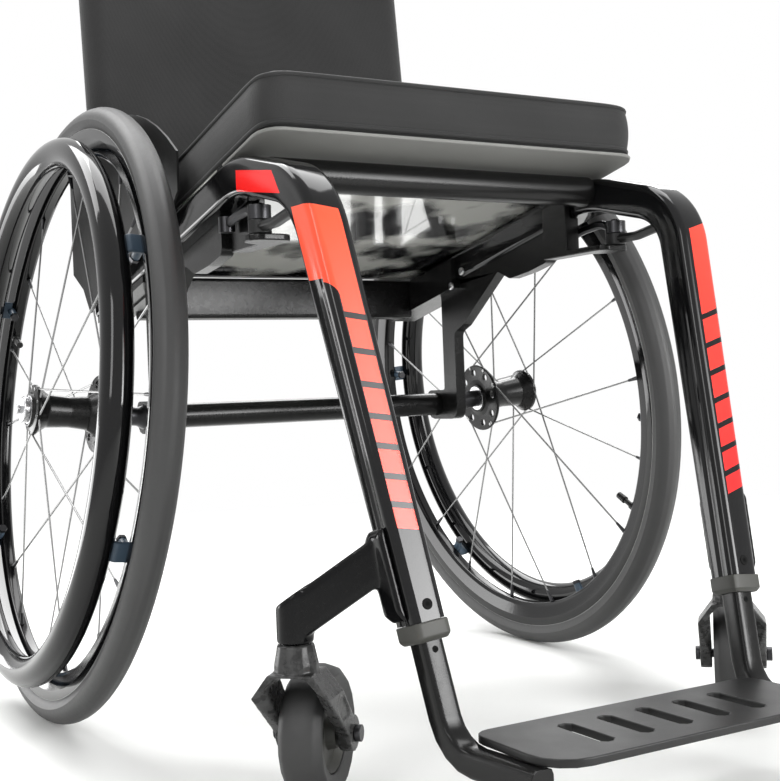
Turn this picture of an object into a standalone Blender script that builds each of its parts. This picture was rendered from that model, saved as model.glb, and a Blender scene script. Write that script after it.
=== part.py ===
# Rigid-frame active wheelchair, modelled in metres with +Z up.
# The chair faces -Y, its right side is -X, and the tyres stand on z = 0.
# Heights are above the floor and fore-and-aft places are measured from the rear axle;
# one empty then moves the whole chair so that the origin is under the middle of its length.

from math import atan2, ceil, cos, hypot, pi, radians, sin, sqrt, tan

import bmesh
import bpy
from mathutils import Matrix, Vector

# Clearances
JOINT_GAP = 0.0003
RUNNING_GAP = 0.0001
SOFT_GAP = 0.0015
CUT_REACH = 0.010

# Widths across the chair: the rails' middle lines carry every other place along X
SEAT_HALF_WIDTH = 0.192
RAIL_X = SEAT_HALF_WIDTH - 0.011

# Main wheels
WHEEL_RADIUS = 0.2965
WHEEL_STEPS = 40
CAMBER = radians(6)
HALF_TRACK = RAIL_X + 0.077
TYRE_SECTION_RADIUS = 0.014
TYRE_BEAD_ANGLE = radians(125)
TYRE_BEAD_HALF_WIDTH = 0.0096
RIM_WALL = 0.0016
RIM_INNER_RADIUS = WHEEL_RADIUS - 0.0475
RIM_INNER_HALF_WIDTH = 0.0055
PUSHRIM_RADIUS = WHEEL_RADIUS - 0.0487
PUSHRIM_OFFSET = 0.0323
PUSHRIM_WIDTH = 0.0275
PUSHRIM_DEPTH = 0.0285
PUSHRIM_TABS = 6
TAB_WIDTH = 0.018
TAB_THICKNESS = 0.004
TAB_RADIUS = PUSHRIM_RADIUS + 0.0087
# Angle of the first tab from the wheel's highest point toward the back, on each side
TAB_PHASE = {"left": radians(23), "right": radians(3)}

# Hubs, spokes and quick-release axles
SPOKE_COUNT = 18
SPOKE_RADIUS = 0.0010
SPOKE_SWEEP = radians(62)
SPOKE_PHASE = {"left": radians(13), "right": radians(-7)}
HUB_INNER_FLANGE_RADIUS = 0.0385
HUB_OUTER_FLANGE_RADIUS = 0.0245
HUB_INNER_FLANGE_OFFSET = -0.028
HUB_OUTER_FLANGE_OFFSET = 0.032
HUB_FLANGE_THICKNESS = 0.0035
HUB_BARREL_RADIUS = 0.0165
HUB_END_RADIUS = 0.0165
HUB_HOLE_COUNT = 8
HUB_HOLE_RADIUS = 0.0045
HUB_HOLE_PHASE = radians(7)
BEARING_RADIUS = 0.01425
BEARING_WIDTH = 0.008
PIN_RADIUS = 0.00635
PIN_TIP_X = HALF_TRACK - 0.098
PIN_HEAD_RADIUS = 0.0125
PIN_HEAD_LENGTH = 0.006
BUTTON_RADIUS = 0.0045
BUTTON_LENGTH = 0.014
BUTTON_PROUD = 0.005

# Axle tube and its brackets
AXLE_TUBE_RADIUS = 0.0125
AXLE_TUBE_WALL = 0.002
AXLE_TUBE_END_X = HALF_TRACK - 0.080
PLUG_FLANGE = 0.004
PLUG_SPIGOT = 0.028
PLUG_NOSE_RADIUS = 0.0095
BRACKET_THICKNESS = 0.012
BRACKET_X = RAIL_X - 0.006
BRACKET_STRUT = (-0.0425, -0.018)
BRACKET_CLAMP_REAR = 0.0195
BRACKET_CLAMP_DROP = 0.017
BRACKET_CLAMP_RISE = 0.016
BRACKET_TOE_Y = -0.218
BRACKET_TOE_REAR = -0.152
BRACKET_TOE_DEPTH = 0.030
BRACKET_NOTCH_Y = -0.131
BRACKET_NOTCH_DEPTH = 0.0135
BRACKET_GUSSET = (-0.060, 0.3735)
BRACKET_GUSSET_FOOT_Z = 0.3665
BRACKET_FLANGE = 0.007
BRACKET_FLANGE_REAR = 0.088
BRACKET_LUG_FRONT = -0.058
BRACKET_LUG_TO_BAR = 0.006
BRACKET_LUG_THICKNESS = 0.006
BRACKET_LUG_FOOT = 0.009
BRACKET_LUG_RISE = 0.024

# Side frames: seat rail, knee bend and down tube in one bent tube
RAIL_WIDTH = 0.032
RAIL_DEPTH = 0.031
RAIL_PEAK_Y = -0.2817
RAIL_PEAK_TOP = 0.5013
RAIL_REAR_Y = 0.095
SEAT_DUMP = radians(11.5)
PEAK_BEND_RADIUS = 0.12
KNEE_Y = -0.3942
KNEE_RISE = radians(14)
KNEE_BEND_RADIUS = 0.060
FOOT_X = RAIL_X - 0.031
FOOT_Y = -0.4749
FOOT_Z = 0.1416
FOOT_WIDTH = 0.028
FOOT_DEPTH = 0.028
TUBE_CORNER = 0.005
FOOTREST_BORE_DEPTH = 0.075
FOOTREST_HEADROOM = 0.012

# Cross members and seat
FRONT_TUBE_RADIUS = 0.014
FRONT_TUBE_Y = -0.287
FRONT_TUBE_DROP = 0.001
REAR_BAR_Y = 0.050
REAR_BAR_HEIGHT = 0.045
REAR_BAR_DEPTH = 0.020
REAR_BAR_DROP = 0.0077
SEAT_FRONT_Y = -0.333
SEAT_REAR_Y = 0.052
SEAT_FRONT_CORNER = 0.020
SEAT_REAR_CORNER = 0.012
SEAT_PAN_THICKNESS = 0.003
CUSHION_THICKNESS = 0.055
CUSHION_CROWN = 0.008
CUSHION_WAIST = 0.0025
CUSHION_EDGE_SHARE = 0.80
CUSHION_CELL = 0.040

# Footrest
FOOTREST_TUBE_WIDTH = 0.0195
FOOTREST_CORNER = 0.0048
FOOTREST_BEND_RADIUS = 0.034
FOOTREST_TOE_IN = 0.010
FOOTREST_FRONT_Y = -0.585
FOOTREST_TUBE_Z = 0.052
COLLAR_LENGTH = 0.0135
COLLAR_MARGIN = 0.0015
FOOTPLATE_THICKNESS = 0.006
FOOTPLATE_HALF_WIDTH = FOOT_X - 0.018
FOOTPLATE_REAR_Y = -0.504
FOOTPLATE_FRONT_Y = -0.600
FOOTPLATE_SLOTS = (-0.070, -0.035, 0.0, 0.035, 0.070)
FOOTPLATE_SLOT_HALF_LENGTH = 0.026
FOOTPLATE_SLOT_HALF_WIDTH = 0.006

# Casters
CASTER_X = RAIL_X + 0.0335
CASTER_Y = -0.406
CASTER_TRAIL = 0.042
CASTER_RADIUS = 0.050
CASTER_WIDTH = 0.034
CASTER_HUB_RADIUS = 0.030
CASTER_STEPS = 20
CASTER_BOSS_RADIUS = 0.011
CASTER_WEB = 0.010
CASTER_TREAD_HALF = 0.005
CASTER_REST_TURN = radians(-45)
HOUSING_RADIUS = 0.0137
HOUSING_BOTTOM = 2 * CASTER_RADIUS + 0.0255
STEM_BORE_TOP = HOUSING_BOTTOM + 0.021
STEM_HEADROOM = 0.001
STEM_RADIUS = 0.005
STEM_BEARING_RADIUS = 0.0105
ARM_TOP_AT_STEM = HOUSING_BOTTOM + 0.0342
ARM_ROOT_Z = ARM_TOP_AT_STEM + 0.0303
ARM_START = 0.002
ARM_SLOPE = radians(33.7)
ARM_DEPTH = 0.030
ARM_THICKNESS = 0.022
HOUSING_TOP_STEP = 0.0006
# Saddle of the caster arm: distances above the down tube's foot and its wall's thickness at each
ARM_SADDLE_REACH = (0.003, 0.010, 0.065, 0.070)
ARM_SADDLE_WALL = (0.002, 0.006, 0.006, 0.003)
ARM_SADDLE_WRAP = 0.008
FORK_CROWN_RADIUS = 0.0165
FORK_CROWN_Z = HOUSING_BOTTOM - 0.0155
FORK_NECK_Z = FORK_CROWN_Z - 0.005
FORK_SHOULDER_Z = FORK_CROWN_Z - 0.022
FORK_BLADE_THICKNESS = 0.01035
FORK_BLADE_DEPTH = 0.036
FORK_TIP_TAPER = 0.66
FORK_BOSS_RADIUS = 0.0135
FORK_SIDE_GAP = 0.002
FORK_ARCH_GAP = 0.003
FORK_ARCH_CORNER = 0.008
FORK_POCKET_Z = (0.016, 0.034)
FORK_POCKET_DEPTH = 0.0014
FORK_POCKET_EDGE = 0.0045
CASTER_BOLT_RADIUS = 0.004
CASTER_BOLT_HEAD_RADIUS = 0.0065
CASTER_BOLT_HEAD = 0.004
CASTER_BOLT_NUT = 0.005

# Side guards
GUARD_X = RAIL_X + 0.023
GUARD_THICKNESS = 0.0022
GUARD_TOP = 0.600
GUARD_TYRE_MARGIN = 0.0065
GUARD_FRONT_Y = -0.181
GUARD_REAR_Y = 0.145
GUARD_FRONT_RISE = 0.006
GUARD_TAIL_Y = (0.1446, 0.110)
GUARD_TAIL_Z = (0.444, 0.425)
GUARD_FOOT_Y = (0.088, 0.060, -0.150)
GUARD_FOOT_RISE = (0.004, 0.010, 0.019634)
GUARD_PAD_Y = (-0.110, 0.030)
GUARD_PAD_RADIUS = 0.012
GUARD_PAD_RISE = 0.003

# Backrest
HINGE_Y = 0.086
HINGE_Z = 0.522
HINGE_PIN_RADIUS = 0.004
HINGE_PLATE = 0.006
HINGE_HALF_WIDTH = 0.017
HINGE_HEAD_RISE = 0.016
HINGE_NECK_DROP = 0.030
HINGE_TO_BAR = 0.002
HINGE_FOOT_RISE = 0.016
HINGE_PIN_INNER = 0.003
HINGE_PIN_OUTER = 0.0045
CANE_RADIUS = 0.0125
CANE_LENGTH = 0.300
CANE_LEAN = radians(6)
RIGIDIZER_HEIGHT = 0.028
RIGIDIZER_RADIUS = 0.009
RIGIDIZER_SET_BACK = 0.040
RIGIDIZER_SLEEVE = 0.030
RIGIDIZER_SLOPE_END = 0.062
RIGIDIZER_BENDS = (0.02, 0.03)
BACK_CLOTH_LOW = 0.045
BACK_CLOTH_HIGH = 0.286
BACK_CLOTH_THICKNESS = 0.005
BACK_CLOTH_SAG = 0.024
CANE_FOOT = 0.013
CANE_FOOT_RADIUS = 0.0095
CANE_DOME = 0.004

# Brakes: a lever and a shoe arm on one upright pin below each rail
BRAKE_X = RAIL_X + 0.003
BRAKE_Y = -0.305
BRAKE_PIN_RADIUS = 0.004
BRAKE_BOSS_RADIUS = 0.0095
BRAKE_SHELF_Z = 0.4275
BRAKE_SHELF_THICKNESS = 0.0055
BRAKE_LEVEL = 0.0112
BRAKE_BLOCK = (-0.262, -0.225)
BRAKE_BLOCK_WIDTH = 0.0098
BRAKE_LIP = 0.006
BRAKE_LIP_RISE = 0.020
BRAKE_LEVER_REACH = 0.060
BRAKE_ARM_REACH = 0.067
BRAKE_SHOE_RADIUS = 0.007
BRAKE_LEVER_BEND = (0.5, 0.030)
BRAKE_LEVER_TIP_RISE = 0.0045
BRAKE_ARM_ARCH = ((0.30, 0.0055, 0.020), (0.65, 0.0035, 0.030))
BRAKE_LEVER_SECTION = (0.011, 0.008, 0.003)
BRAKE_LEVER_TIP = (0.006, 0.004, 0.0015)
BRAKE_ARM_SECTION = (0.006, 0.008, 0.002)

SIDES = {"left": 1, "right": -1}

HUB_HEIGHT = WHEEL_RADIUS * cos(CAMBER)
FRONT_REACH = -FOOTPLATE_FRONT_Y
AXLE_Y = (FRONT_REACH - WHEEL_RADIUS) / 2


def clear_scene():
    for old in list(bpy.data.objects):
        bpy.data.objects.remove(old, do_unlink=True)


def paint(name, colour, roughness, metallic=0.0):
    """One surface; its colour is in linear values."""
    material = bpy.data.materials.new(name)
    material.use_nodes = True
    shader = material.node_tree.nodes["Principled BSDF"]
    shader.inputs["Base Color"].default_value = (*colour, 1.0)
    shader.inputs["Roughness"].default_value = roughness
    shader.inputs["Metallic"].default_value = metallic
    return material


def empty(name, parent=None, location=(0, 0, 0), axes=None):
    """A guide that carries pieces; axes are its X, Y and Z directions in the parent's space."""
    guide = bpy.data.objects.new(name, None)
    guide.empty_display_size = 0.02
    bpy.context.collection.objects.link(guide)
    guide.parent = parent
    turn = Matrix.Identity(3)
    if axes:
        turn = Matrix(axes).transposed()
    guide.matrix_basis = Matrix.Translation(location) @ turn.to_4x4()
    return guide


def add(name, bm, material, parent, location=(0, 0, 0)):
    """Makes a piece of a drawn surface, smooth but for its sharp edges."""
    bmesh.ops.remove_doubles(bm, verts=bm.verts, dist=1e-6)
    bmesh.ops.recalc_face_normals(bm, faces=bm.faces)
    mesh = bpy.data.meshes.new(name)
    bm.to_mesh(mesh)
    bm.free()
    mesh.shade_smooth()
    mesh.set_sharp_from_angle(angle=radians(35))
    piece = bpy.data.objects.new(name, mesh)
    piece.location = location
    piece.parent = parent
    bpy.context.collection.objects.link(piece)
    if material:
        mesh.materials.append(material)
    return piece


def combine(piece, tool_bm, operation, label):
    """Joins a shape to the piece or cuts it away."""
    tool = add(piece.name + "_" + label, tool_bm, None, piece.parent, piece.location)
    tool.hide_render = True
    tool.display_type = "WIRE"
    modifier = piece.modifiers.new(label, "BOOLEAN")
    modifier.operation = operation
    modifier.solver = "EXACT"
    modifier.object = tool


def mirrored(bm, side, axis=0):
    """The right side's copy of a shape that was drawn for the left side."""
    if side < 0:
        flip = Vector((1, 1, 1))
        flip[axis] = -1
        bmesh.ops.scale(bm, verts=bm.verts, vec=flip)
        bmesh.ops.reverse_faces(bm, faces=bm.faces)
    return bm


def turned(profile, steps, phase=0.0):
    """Spins a closed profile of (radius, height) pairs round Z."""
    bm = bmesh.new()
    corners = [bm.verts.new((r * cos(phase), r * sin(phase), h)) for r, h in profile]
    edges = [bm.edges.new(pair) for pair in zip(corners, corners[1:] + corners[:1])
             if max(abs(pair[0].co.x), abs(pair[1].co.x), abs(pair[0].co.y), abs(pair[1].co.y)) > 1e-7]
    bmesh.ops.spin(bm, geom=corners + edges, axis=(0, 0, 1), cent=(0, 0, 0),
                   angle=2 * pi, steps=steps, use_merge=True)
    bmesh.ops.remove_doubles(bm, verts=bm.verts, dist=1e-6)
    return bm


def loft(rings, closed=False):
    """Skins rings with the same number of points, and caps the ends unless it closes on itself."""
    bm = bmesh.new()
    rows = [[bm.verts.new(point) for point in ring] for ring in rings]
    pairs = list(zip(rows, rows[1:]))
    if closed:
        pairs.append((rows[-1], rows[0]))
    for low, high in pairs:
        for index in range(len(low)):
            after = (index + 1) % len(low)
            bm.faces.new((low[index], low[after], high[after], high[index]))
    if not closed:
        bm.faces.new(rows[0])
        bm.faces.new(reversed(rows[-1]))
    return bm


def plate(outline, low, high, holes=(), normal=0):
    """A flat piece between two heights along one axis, with holes left open in it."""
    bm = bmesh.new()
    for loop in (outline, *holes):
        corners = []
        for first, second in loop:
            point = [first, second]
            point.insert(normal, low)
            corners.append(bm.verts.new(point))
        for pair in zip(corners, corners[1:] + corners[:1]):
            bm.edges.new(pair)
    bmesh.ops.triangle_fill(bm, use_beauty=True, use_dissolve=False, edges=bm.edges)
    grown = bmesh.ops.extrude_face_region(bm, geom=list(bm.faces))
    rise = Vector((0, 0, 0))
    rise[normal] = high - low
    raised = [item for item in grown["geom"] if isinstance(item, bmesh.types.BMVert)]
    bmesh.ops.translate(bm, verts=raised, vec=rise)
    bmesh.ops.recalc_face_normals(bm, faces=bm.faces)
    return bm


def rounded(corners, segments=4):
    """A closed outline from (u, v, radius) corners, each radius as an arc."""
    outline = []
    count = len(corners)
    for index, (u, v, radius) in enumerate(corners):
        here = Vector((u, v))
        before = (Vector(corners[index - 1][:2]) - here)
        after = (Vector(corners[(index + 1) % count][:2]) - here)
        if radius == 0:
            outline.append((u, v))
            continue
        before.normalize()
        after.normalize()
        half = before.angle(after) / 2
        reach = radius / tan(half)
        centre = here + (before + after).normalized() * radius / sin(half)
        start = here + before * reach - centre
        finish = here + after * reach - centre
        sweep = start.angle_signed(finish)
        for step in range(segments + 1):
            arm = start.copy()
            arm.rotate(Matrix.Rotation(-sweep * step / segments, 2))
            outline.append(tuple(centre + arm))
    return outline


def circle(u, v, radius, steps=16, start=0.0, sweep=2 * pi):
    """Points round a circle, or along an arc of it."""
    last = steps if abs(sweep - 2 * pi) < 1e-9 else steps + 1
    return [(u + radius * cos(start + sweep * i / steps), v + radius * sin(start + sweep * i / steps))
            for i in range(last)]


def section(width, depth, corner, segments=2):
    """A rounded rectangle about its own middle."""
    u = width / 2
    v = depth / 2
    return rounded([(-u, -v, corner), (u, -v, corner), (u, v, corner), (-u, v, corner)], segments)


def bent_path(corners, segments=6):
    """Points and directions along straight runs joined by arcs; corners are (point, bend radius)."""
    path = []
    points = [Vector(point) for point, _ in corners]
    for index, (_, radius) in enumerate(corners):
        here = points[index]
        if index == 0:
            path.append((here, (points[1] - here).normalized()))
            continue
        arriving = (here - points[index - 1]).normalized()
        if index == len(corners) - 1:
            path.append((here, arriving))
            continue
        leaving = (points[index + 1] - here).normalized()
        turn = arriving.angle(leaving)
        axis = arriving.cross(leaving).normalized()
        start = here - arriving * radius * tan(turn / 2)
        centre = start + axis.cross(arriving) * radius
        for step in range(segments + 1):
            spin = Matrix.Rotation(turn * step / segments, 3, axis)
            path.append((centre + spin @ (start - centre), spin @ arriving))
    return path


def swept(path, shapes, across=Vector((1, 0, 0))):
    """Sweeps 2D shapes along a path; their first direction stays as near as it can to one axis."""
    rings = []
    for (point, ahead), shape in zip(path, shapes):
        wide = (across - ahead * across.dot(ahead)).normalized()
        deep = ahead.cross(wide)
        rings.append([point + wide * u + deep * v for u, v in shape])
    return loft(rings)


def rod(start, finish, radius, steps=16):
    """A plain round bar between two points."""
    start = Vector(start)
    finish = Vector(finish)
    ahead = (finish - start).normalized()
    across = Vector((0, 0, 1)) if abs(ahead.z) < 0.9 else Vector((1, 0, 0))
    return swept([(start, ahead), (finish, ahead)], [circle(0, 0, radius, steps)] * 2, across)


def bore_radius(shaft, gap, steps):
    """The corner radius of a faceted hole whose flats clear a turning shaft by the gap."""
    return (shaft + gap) / cos(pi / steps)


def rail_top(y):
    """Height of the seat rails' top face behind the peak."""
    return RAIL_PEAK_TOP - tan(SEAT_DUMP) * (y - RAIL_PEAK_Y)


def rail_centre(y):
    return rail_top(y) - RAIL_DEPTH / 2 / cos(SEAT_DUMP)


def rail_underside(y):
    return rail_top(y) - RAIL_DEPTH / cos(SEAT_DUMP)


def leg_direction():
    """From the knee corner down to the foot of the down tube, on the left side."""
    knee = Vector((RAIL_X, KNEE_Y, knee_height()))
    return (Vector((FOOT_X, FOOT_Y, FOOT_Z)) - knee).normalized()


def knee_height():
    return rail_centre(RAIL_PEAK_Y) - tan(KNEE_RISE) * (RAIL_PEAK_Y - KNEE_Y)


def hub_point(offset, radius=0.0):
    """A place on the left hub's axis in chair space, outward of the wheel's middle by the offset."""
    return Vector((HALF_TRACK + offset * cos(CAMBER) - radius * sin(CAMBER), 0,
                   HUB_HEIGHT + offset * sin(CAMBER) + radius * cos(CAMBER)))


clear_scene()

gloss_black = paint("gloss_black", (0.006, 0.006, 0.007), 0.12)
satin_black = paint("satin_black", (0.012, 0.012, 0.013), 0.38)
cast_black = paint("cast_black", (0.016, 0.016, 0.017), 0.30)
grey_plastic = paint("grey_plastic", (0.035, 0.035, 0.032), 0.45)
black_plastic = paint("black_plastic", (0.014, 0.014, 0.014), 0.42)
carbon = paint("carbon", (0.010, 0.010, 0.011), 0.10)
tyre_rubber = paint("tyre_rubber", (0.045, 0.045, 0.043), 0.62)
caster_rubber = paint("caster_rubber", (0.020, 0.020, 0.020), 0.55)
cushion_cloth = paint("cushion_cloth", (0.026, 0.026, 0.027), 0.85)
back_cloth = paint("back_cloth", (0.018, 0.018, 0.019), 0.90)
steel = paint("steel", (0.55, 0.56, 0.57), 0.25, 1.0)
bearing_steel = paint("bearing_steel", (0.62, 0.62, 0.60), 0.18, 1.0)

chair = empty("chair", location=(0, AXLE_Y, 0))


def frame_path():
    """Middle line of a side frame from the foot of its down tube to the rail's rear end."""
    foot = (FOOT_X, FOOT_Y, FOOT_Z)
    knee = (RAIL_X, KNEE_Y, knee_height())
    peak = (RAIL_X, RAIL_PEAK_Y, rail_centre(RAIL_PEAK_Y))
    rear = (RAIL_X, RAIL_REAR_Y, rail_centre(RAIL_REAR_Y))
    return bent_path([(foot, 0), (knee, KNEE_BEND_RADIUS), (peak, PEAK_BEND_RADIUS), (rear, 0)], 6)


def leg_size(reach):
    """Width and depth of the tapered down tube at a distance above its foot."""
    path = frame_path()
    share = reach / (path[1][0] - path[0][0]).length
    return FOOT_WIDTH + (RAIL_WIDTH - FOOT_WIDTH) * share, FOOT_DEPTH + (RAIL_DEPTH - FOOT_DEPTH) * share


def on_leg(reaches):
    """Places and upward directions on the left down tube's middle line above its foot."""
    up = -leg_direction()
    return [(Vector((FOOT_X, FOOT_Y, FOOT_Z)) + up * reach, up) for reach in reaches]


def footrest_shape(margin=0.0):
    """Section of the footrest tube, or of a hole that clears it."""
    width = FOOTREST_TUBE_WIDTH + 2 * margin
    return section(width, width, FOOTREST_CORNER + margin)


def side_frame(name, side):
    """Bent rectangular tube: foot, down tube, knee bend, rise, peak and seat rail."""
    path = frame_path()
    shapes = [section(FOOT_WIDTH, FOOT_DEPTH, TUBE_CORNER)]
    shapes += [section(RAIL_WIDTH, RAIL_DEPTH, TUBE_CORNER)] * (len(path) - 1)
    piece = add(name, mirrored(swept(path, shapes), side), gloss_black, chair)
    hole = swept(on_leg((-CUT_REACH, FOOTREST_BORE_DEPTH)), [footrest_shape(JOINT_GAP)] * 2)
    combine(piece, mirrored(hole, side), "DIFFERENCE", "bore")
    return piece


def front_cross_tube():
    reach = RAIL_X - RAIL_WIDTH / 2 - JOINT_GAP
    z = rail_centre(FRONT_TUBE_Y) - FRONT_TUBE_DROP
    bar = rod((-reach, FRONT_TUBE_Y, z), (reach, FRONT_TUBE_Y, z), FRONT_TUBE_RADIUS, 20)
    return add("front_cross_tube", bar, gloss_black, chair)


def rear_cross_bar():
    reach = RAIL_X - RAIL_WIDTH / 2 - JOINT_GAP
    z = rail_centre(REAR_BAR_Y) - REAR_BAR_DROP
    ends = [(Vector((x, REAR_BAR_Y, z)), Vector((1, 0, 0))) for x in (-reach, reach)]
    shape = section(REAR_BAR_DEPTH, REAR_BAR_HEIGHT, 0.006)
    return add("rear_cross_bar", swept(ends, [shape] * 2, Vector((0, 1, 0))), gloss_black, chair)


def seat_outline():
    """Plan of the seat: a rectangle with rounded corners."""
    wide = SEAT_HALF_WIDTH
    return rounded([(-wide, SEAT_FRONT_Y, SEAT_FRONT_CORNER), (wide, SEAT_FRONT_Y, SEAT_FRONT_CORNER),
                    (wide, SEAT_REAR_Y, SEAT_REAR_CORNER), (-wide, SEAT_REAR_Y, SEAT_REAR_CORNER)])


def seat_pan():
    """Rigid seat sheet lying on both rails."""
    sheet = plate(seat_outline(), 0, SEAT_PAN_THICKNESS / cos(SEAT_DUMP), normal=2)
    for corner in sheet.verts:
        corner.co.z += rail_top(corner.co.y) + JOINT_GAP / cos(SEAT_DUMP)
    return add("seat_pan", sheet, carbon, chair)


def cut_edges(outline, longest):
    """Adds points along the straight edges of an outline."""
    points = []
    for (u, v), (p, q) in zip(outline, outline[1:] + outline[:1]):
        steps = ceil(hypot(p - u, q - v) / longest)
        points += [(u + (p - u) * i / steps, v + (q - v) * i / steps) for i in range(steps)]
    return points


def cushion_point(x, y, w):
    """Place in the cushion above a point of its plan; w rises from 0 to 1."""
    middle = (SEAT_FRONT_Y + SEAT_REAR_Y) / 2
    u = x / SEAT_HALF_WIDTH
    v = (y - middle) / (SEAT_REAR_Y - middle)
    draw = 1 - CUSHION_WAIST * (1 - sin(pi * w)) / SEAT_HALF_WIDTH
    y = middle + (y - middle) * draw
    base = rail_top(y) + (SEAT_PAN_THICKNESS + 2 * JOINT_GAP) / cos(SEAT_DUMP)
    edge = sqrt(max(0.0, 1 - abs(u) ** 8)) * sqrt(max(0.0, 1 - abs(v) ** 8))
    hollow = 0.35 * (0.5 + 0.5 * cos(pi * u)) * (0.5 + 0.5 * sin(pi * v / 2))
    crown = CUSHION_CROWN * (0.6 * (1 - u * u) * (1 - v * v) - hollow)
    full = CUSHION_THICKNESS * (CUSHION_EDGE_SHARE + (1 - CUSHION_EDGE_SHARE) * edge)
    return Vector((x * draw, y, base + (full + crown) * w))


def seat_cushion():
    """Box cushion with a crown, a shallow seat hollow and upright side panels."""
    plan = cut_edges(seat_outline(), CUSHION_CELL)
    middle = (SEAT_FRONT_Y + SEAT_REAR_Y) / 2
    levels = [(0.50, 0), (0.90, 0), (0.985, 0)]
    levels += [(1.0, 0.06 + 0.86 * step / 4) for step in range(5)]
    levels += [(scale, 1) for scale in (0.985, 0.92, 0.76, 0.52, 0.24)]
    rings = [[cushion_point(x * scale, middle + (y - middle) * scale, w) for x, y in plan]
             for scale, w in levels]
    return add("seat_cushion", loft(rings), cushion_cloth, chair)


def axle_tube_height():
    return hub_point(0).z - (HALF_TRACK - AXLE_TUBE_END_X) * tan(CAMBER)


def axle_tube():
    """Open-ended tube across the chair, bored for the camber plugs."""
    outer = AXLE_TUBE_RADIUS
    inner = outer - AXLE_TUBE_WALL
    bm = turned([(outer, -AXLE_TUBE_END_X), (outer, AXLE_TUBE_END_X),
                 (inner, AXLE_TUBE_END_X), (inner, -AXLE_TUBE_END_X)], 20)
    bmesh.ops.rotate(bm, verts=bm.verts, matrix=Matrix.Rotation(pi / 2, 3, "Y"))
    bmesh.ops.translate(bm, verts=bm.verts, vec=(0, 0, axle_tube_height()))
    return add("axle_tube", bm, satin_black, chair)


def camber_plug(name, side):
    """Straight spigot in the axle tube with a tilted nose and a bore for the axle pin."""
    z = axle_tube_height()
    spigot = AXLE_TUBE_RADIUS - AXLE_TUBE_WALL - JOINT_GAP
    start = AXLE_TUBE_END_X - PLUG_SPIGOT
    shoulder = AXLE_TUBE_END_X + JOINT_GAP
    rings = []
    for x, radius in ((start, spigot), (shoulder, spigot), (shoulder, AXLE_TUBE_RADIUS),
                      (shoulder + PLUG_FLANGE, AXLE_TUBE_RADIUS)):
        rings.append([Vector((x, u, z + v)) for u, v in circle(0, 0, radius, 16)])
    inner_end = HUB_INNER_FLANGE_OFFSET - 2 * HUB_FLANGE_THICKNESS - JOINT_GAP
    for offset, radius in (((shoulder + PLUG_FLANGE + 0.006 - HALF_TRACK) / cos(CAMBER), PLUG_NOSE_RADIUS),
                           (inner_end, PLUG_NOSE_RADIUS)):
        centre = hub_point(offset)
        lean = Vector((-sin(CAMBER), 0, cos(CAMBER)))
        rings.append([centre + Vector((0, u, 0)) + lean * v for u, v in circle(0, 0, radius, 16)])
    piece = add(name, mirrored(loft(rings), side), steel, chair)
    tip = (PIN_TIP_X - HALF_TRACK) / cos(CAMBER) - 0.001
    hole = rod(hub_point(tip), hub_point(inner_end + 0.01), bore_radius(PIN_RADIUS, RUNNING_GAP, 16), 16)
    combine(piece, mirrored(hole, side), "DIFFERENCE", "bore")
    return piece


def axle_bracket(name, side):
    """Plate from the axle tube's clamp up to the rail, with a front gusset and toe, a flange and a lug."""
    z = axle_tube_height()
    strut_front, strut_rear = BRACKET_STRUT
    toe = BRACKET_TOE_Y
    toe_middle = (toe + BRACKET_TOE_REAR) / 2
    under = JOINT_GAP / cos(SEAT_DUMP)
    outline = rounded([
        (BRACKET_CLAMP_REAR, z - BRACKET_CLAMP_DROP, 0.014),
        (BRACKET_CLAMP_REAR, z + BRACKET_CLAMP_RISE, 0.008),
        (strut_rear, z + BRACKET_CLAMP_RISE, 0.003),
        (strut_rear, rail_underside(strut_rear) - under, 0),
        (toe, rail_underside(toe) - under, 0),
        (toe, rail_underside(toe) - BRACKET_TOE_DEPTH, 0.008),
        (toe_middle, rail_underside(toe_middle) - BRACKET_TOE_DEPTH, 0.060),
        (BRACKET_TOE_REAR, rail_underside(BRACKET_TOE_REAR) - BRACKET_TOE_DEPTH * 0.9, 0.008),
        (BRACKET_NOTCH_Y, rail_underside(BRACKET_NOTCH_Y) - BRACKET_NOTCH_DEPTH, 0.002),
        (*BRACKET_GUSSET, 0.020),
        (strut_front, BRACKET_GUSSET_FOOT_Z, 0.008),
        (strut_front, z - BRACKET_CLAMP_DROP, 0.012),
    ], 3)
    hole = circle(0, z, bore_radius(AXLE_TUBE_RADIUS, JOINT_GAP, 20), 20)
    low = BRACKET_X - BRACKET_THICKNESS / 2
    high = BRACKET_X + BRACKET_THICKNESS / 2
    piece = add(name, mirrored(plate(outline, low, high, [hole]), side), cast_black, chair)
    rail_inner = RAIL_X - RAIL_WIDTH / 2
    rail_outer = RAIL_X + RAIL_WIDTH / 2
    front = BRACKET_LUG_FRONT
    flange_top = -under - 0.0002
    flange = [(rail_inner, -BRACKET_FLANGE), (rail_outer, -BRACKET_FLANGE),
              (rail_outer, flange_top), (rail_inner, flange_top)]
    combine(piece, mirrored(under_rail(flange, front, BRACKET_FLANGE_REAR), side), "UNION", "flange")
    lug_outer = rail_inner - JOINT_GAP
    lug_inner = lug_outer - BRACKET_LUG_THICKNESS
    foot_top = -BRACKET_FLANGE / 2
    lug = [(lug_inner, -BRACKET_LUG_FOOT), (high - 0.001, -BRACKET_LUG_FOOT), (high - 0.001, foot_top),
           (lug_outer, foot_top), (lug_outer, BRACKET_LUG_RISE), (lug_inner, BRACKET_LUG_RISE)]
    rear = REAR_BAR_Y - REAR_BAR_DEPTH / 2 - BRACKET_LUG_TO_BAR
    combine(piece, mirrored(under_rail(lug, front + 0.001, rear), side), "UNION", "lug")
    return piece


def under_rail(profile, front, rear):
    """A bar along the rail from (x, rise above the rail's underside) points."""
    return loft([[Vector((x, y, rail_underside(y) + rise)) for x, rise in profile] for y in (front, rear)])


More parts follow.
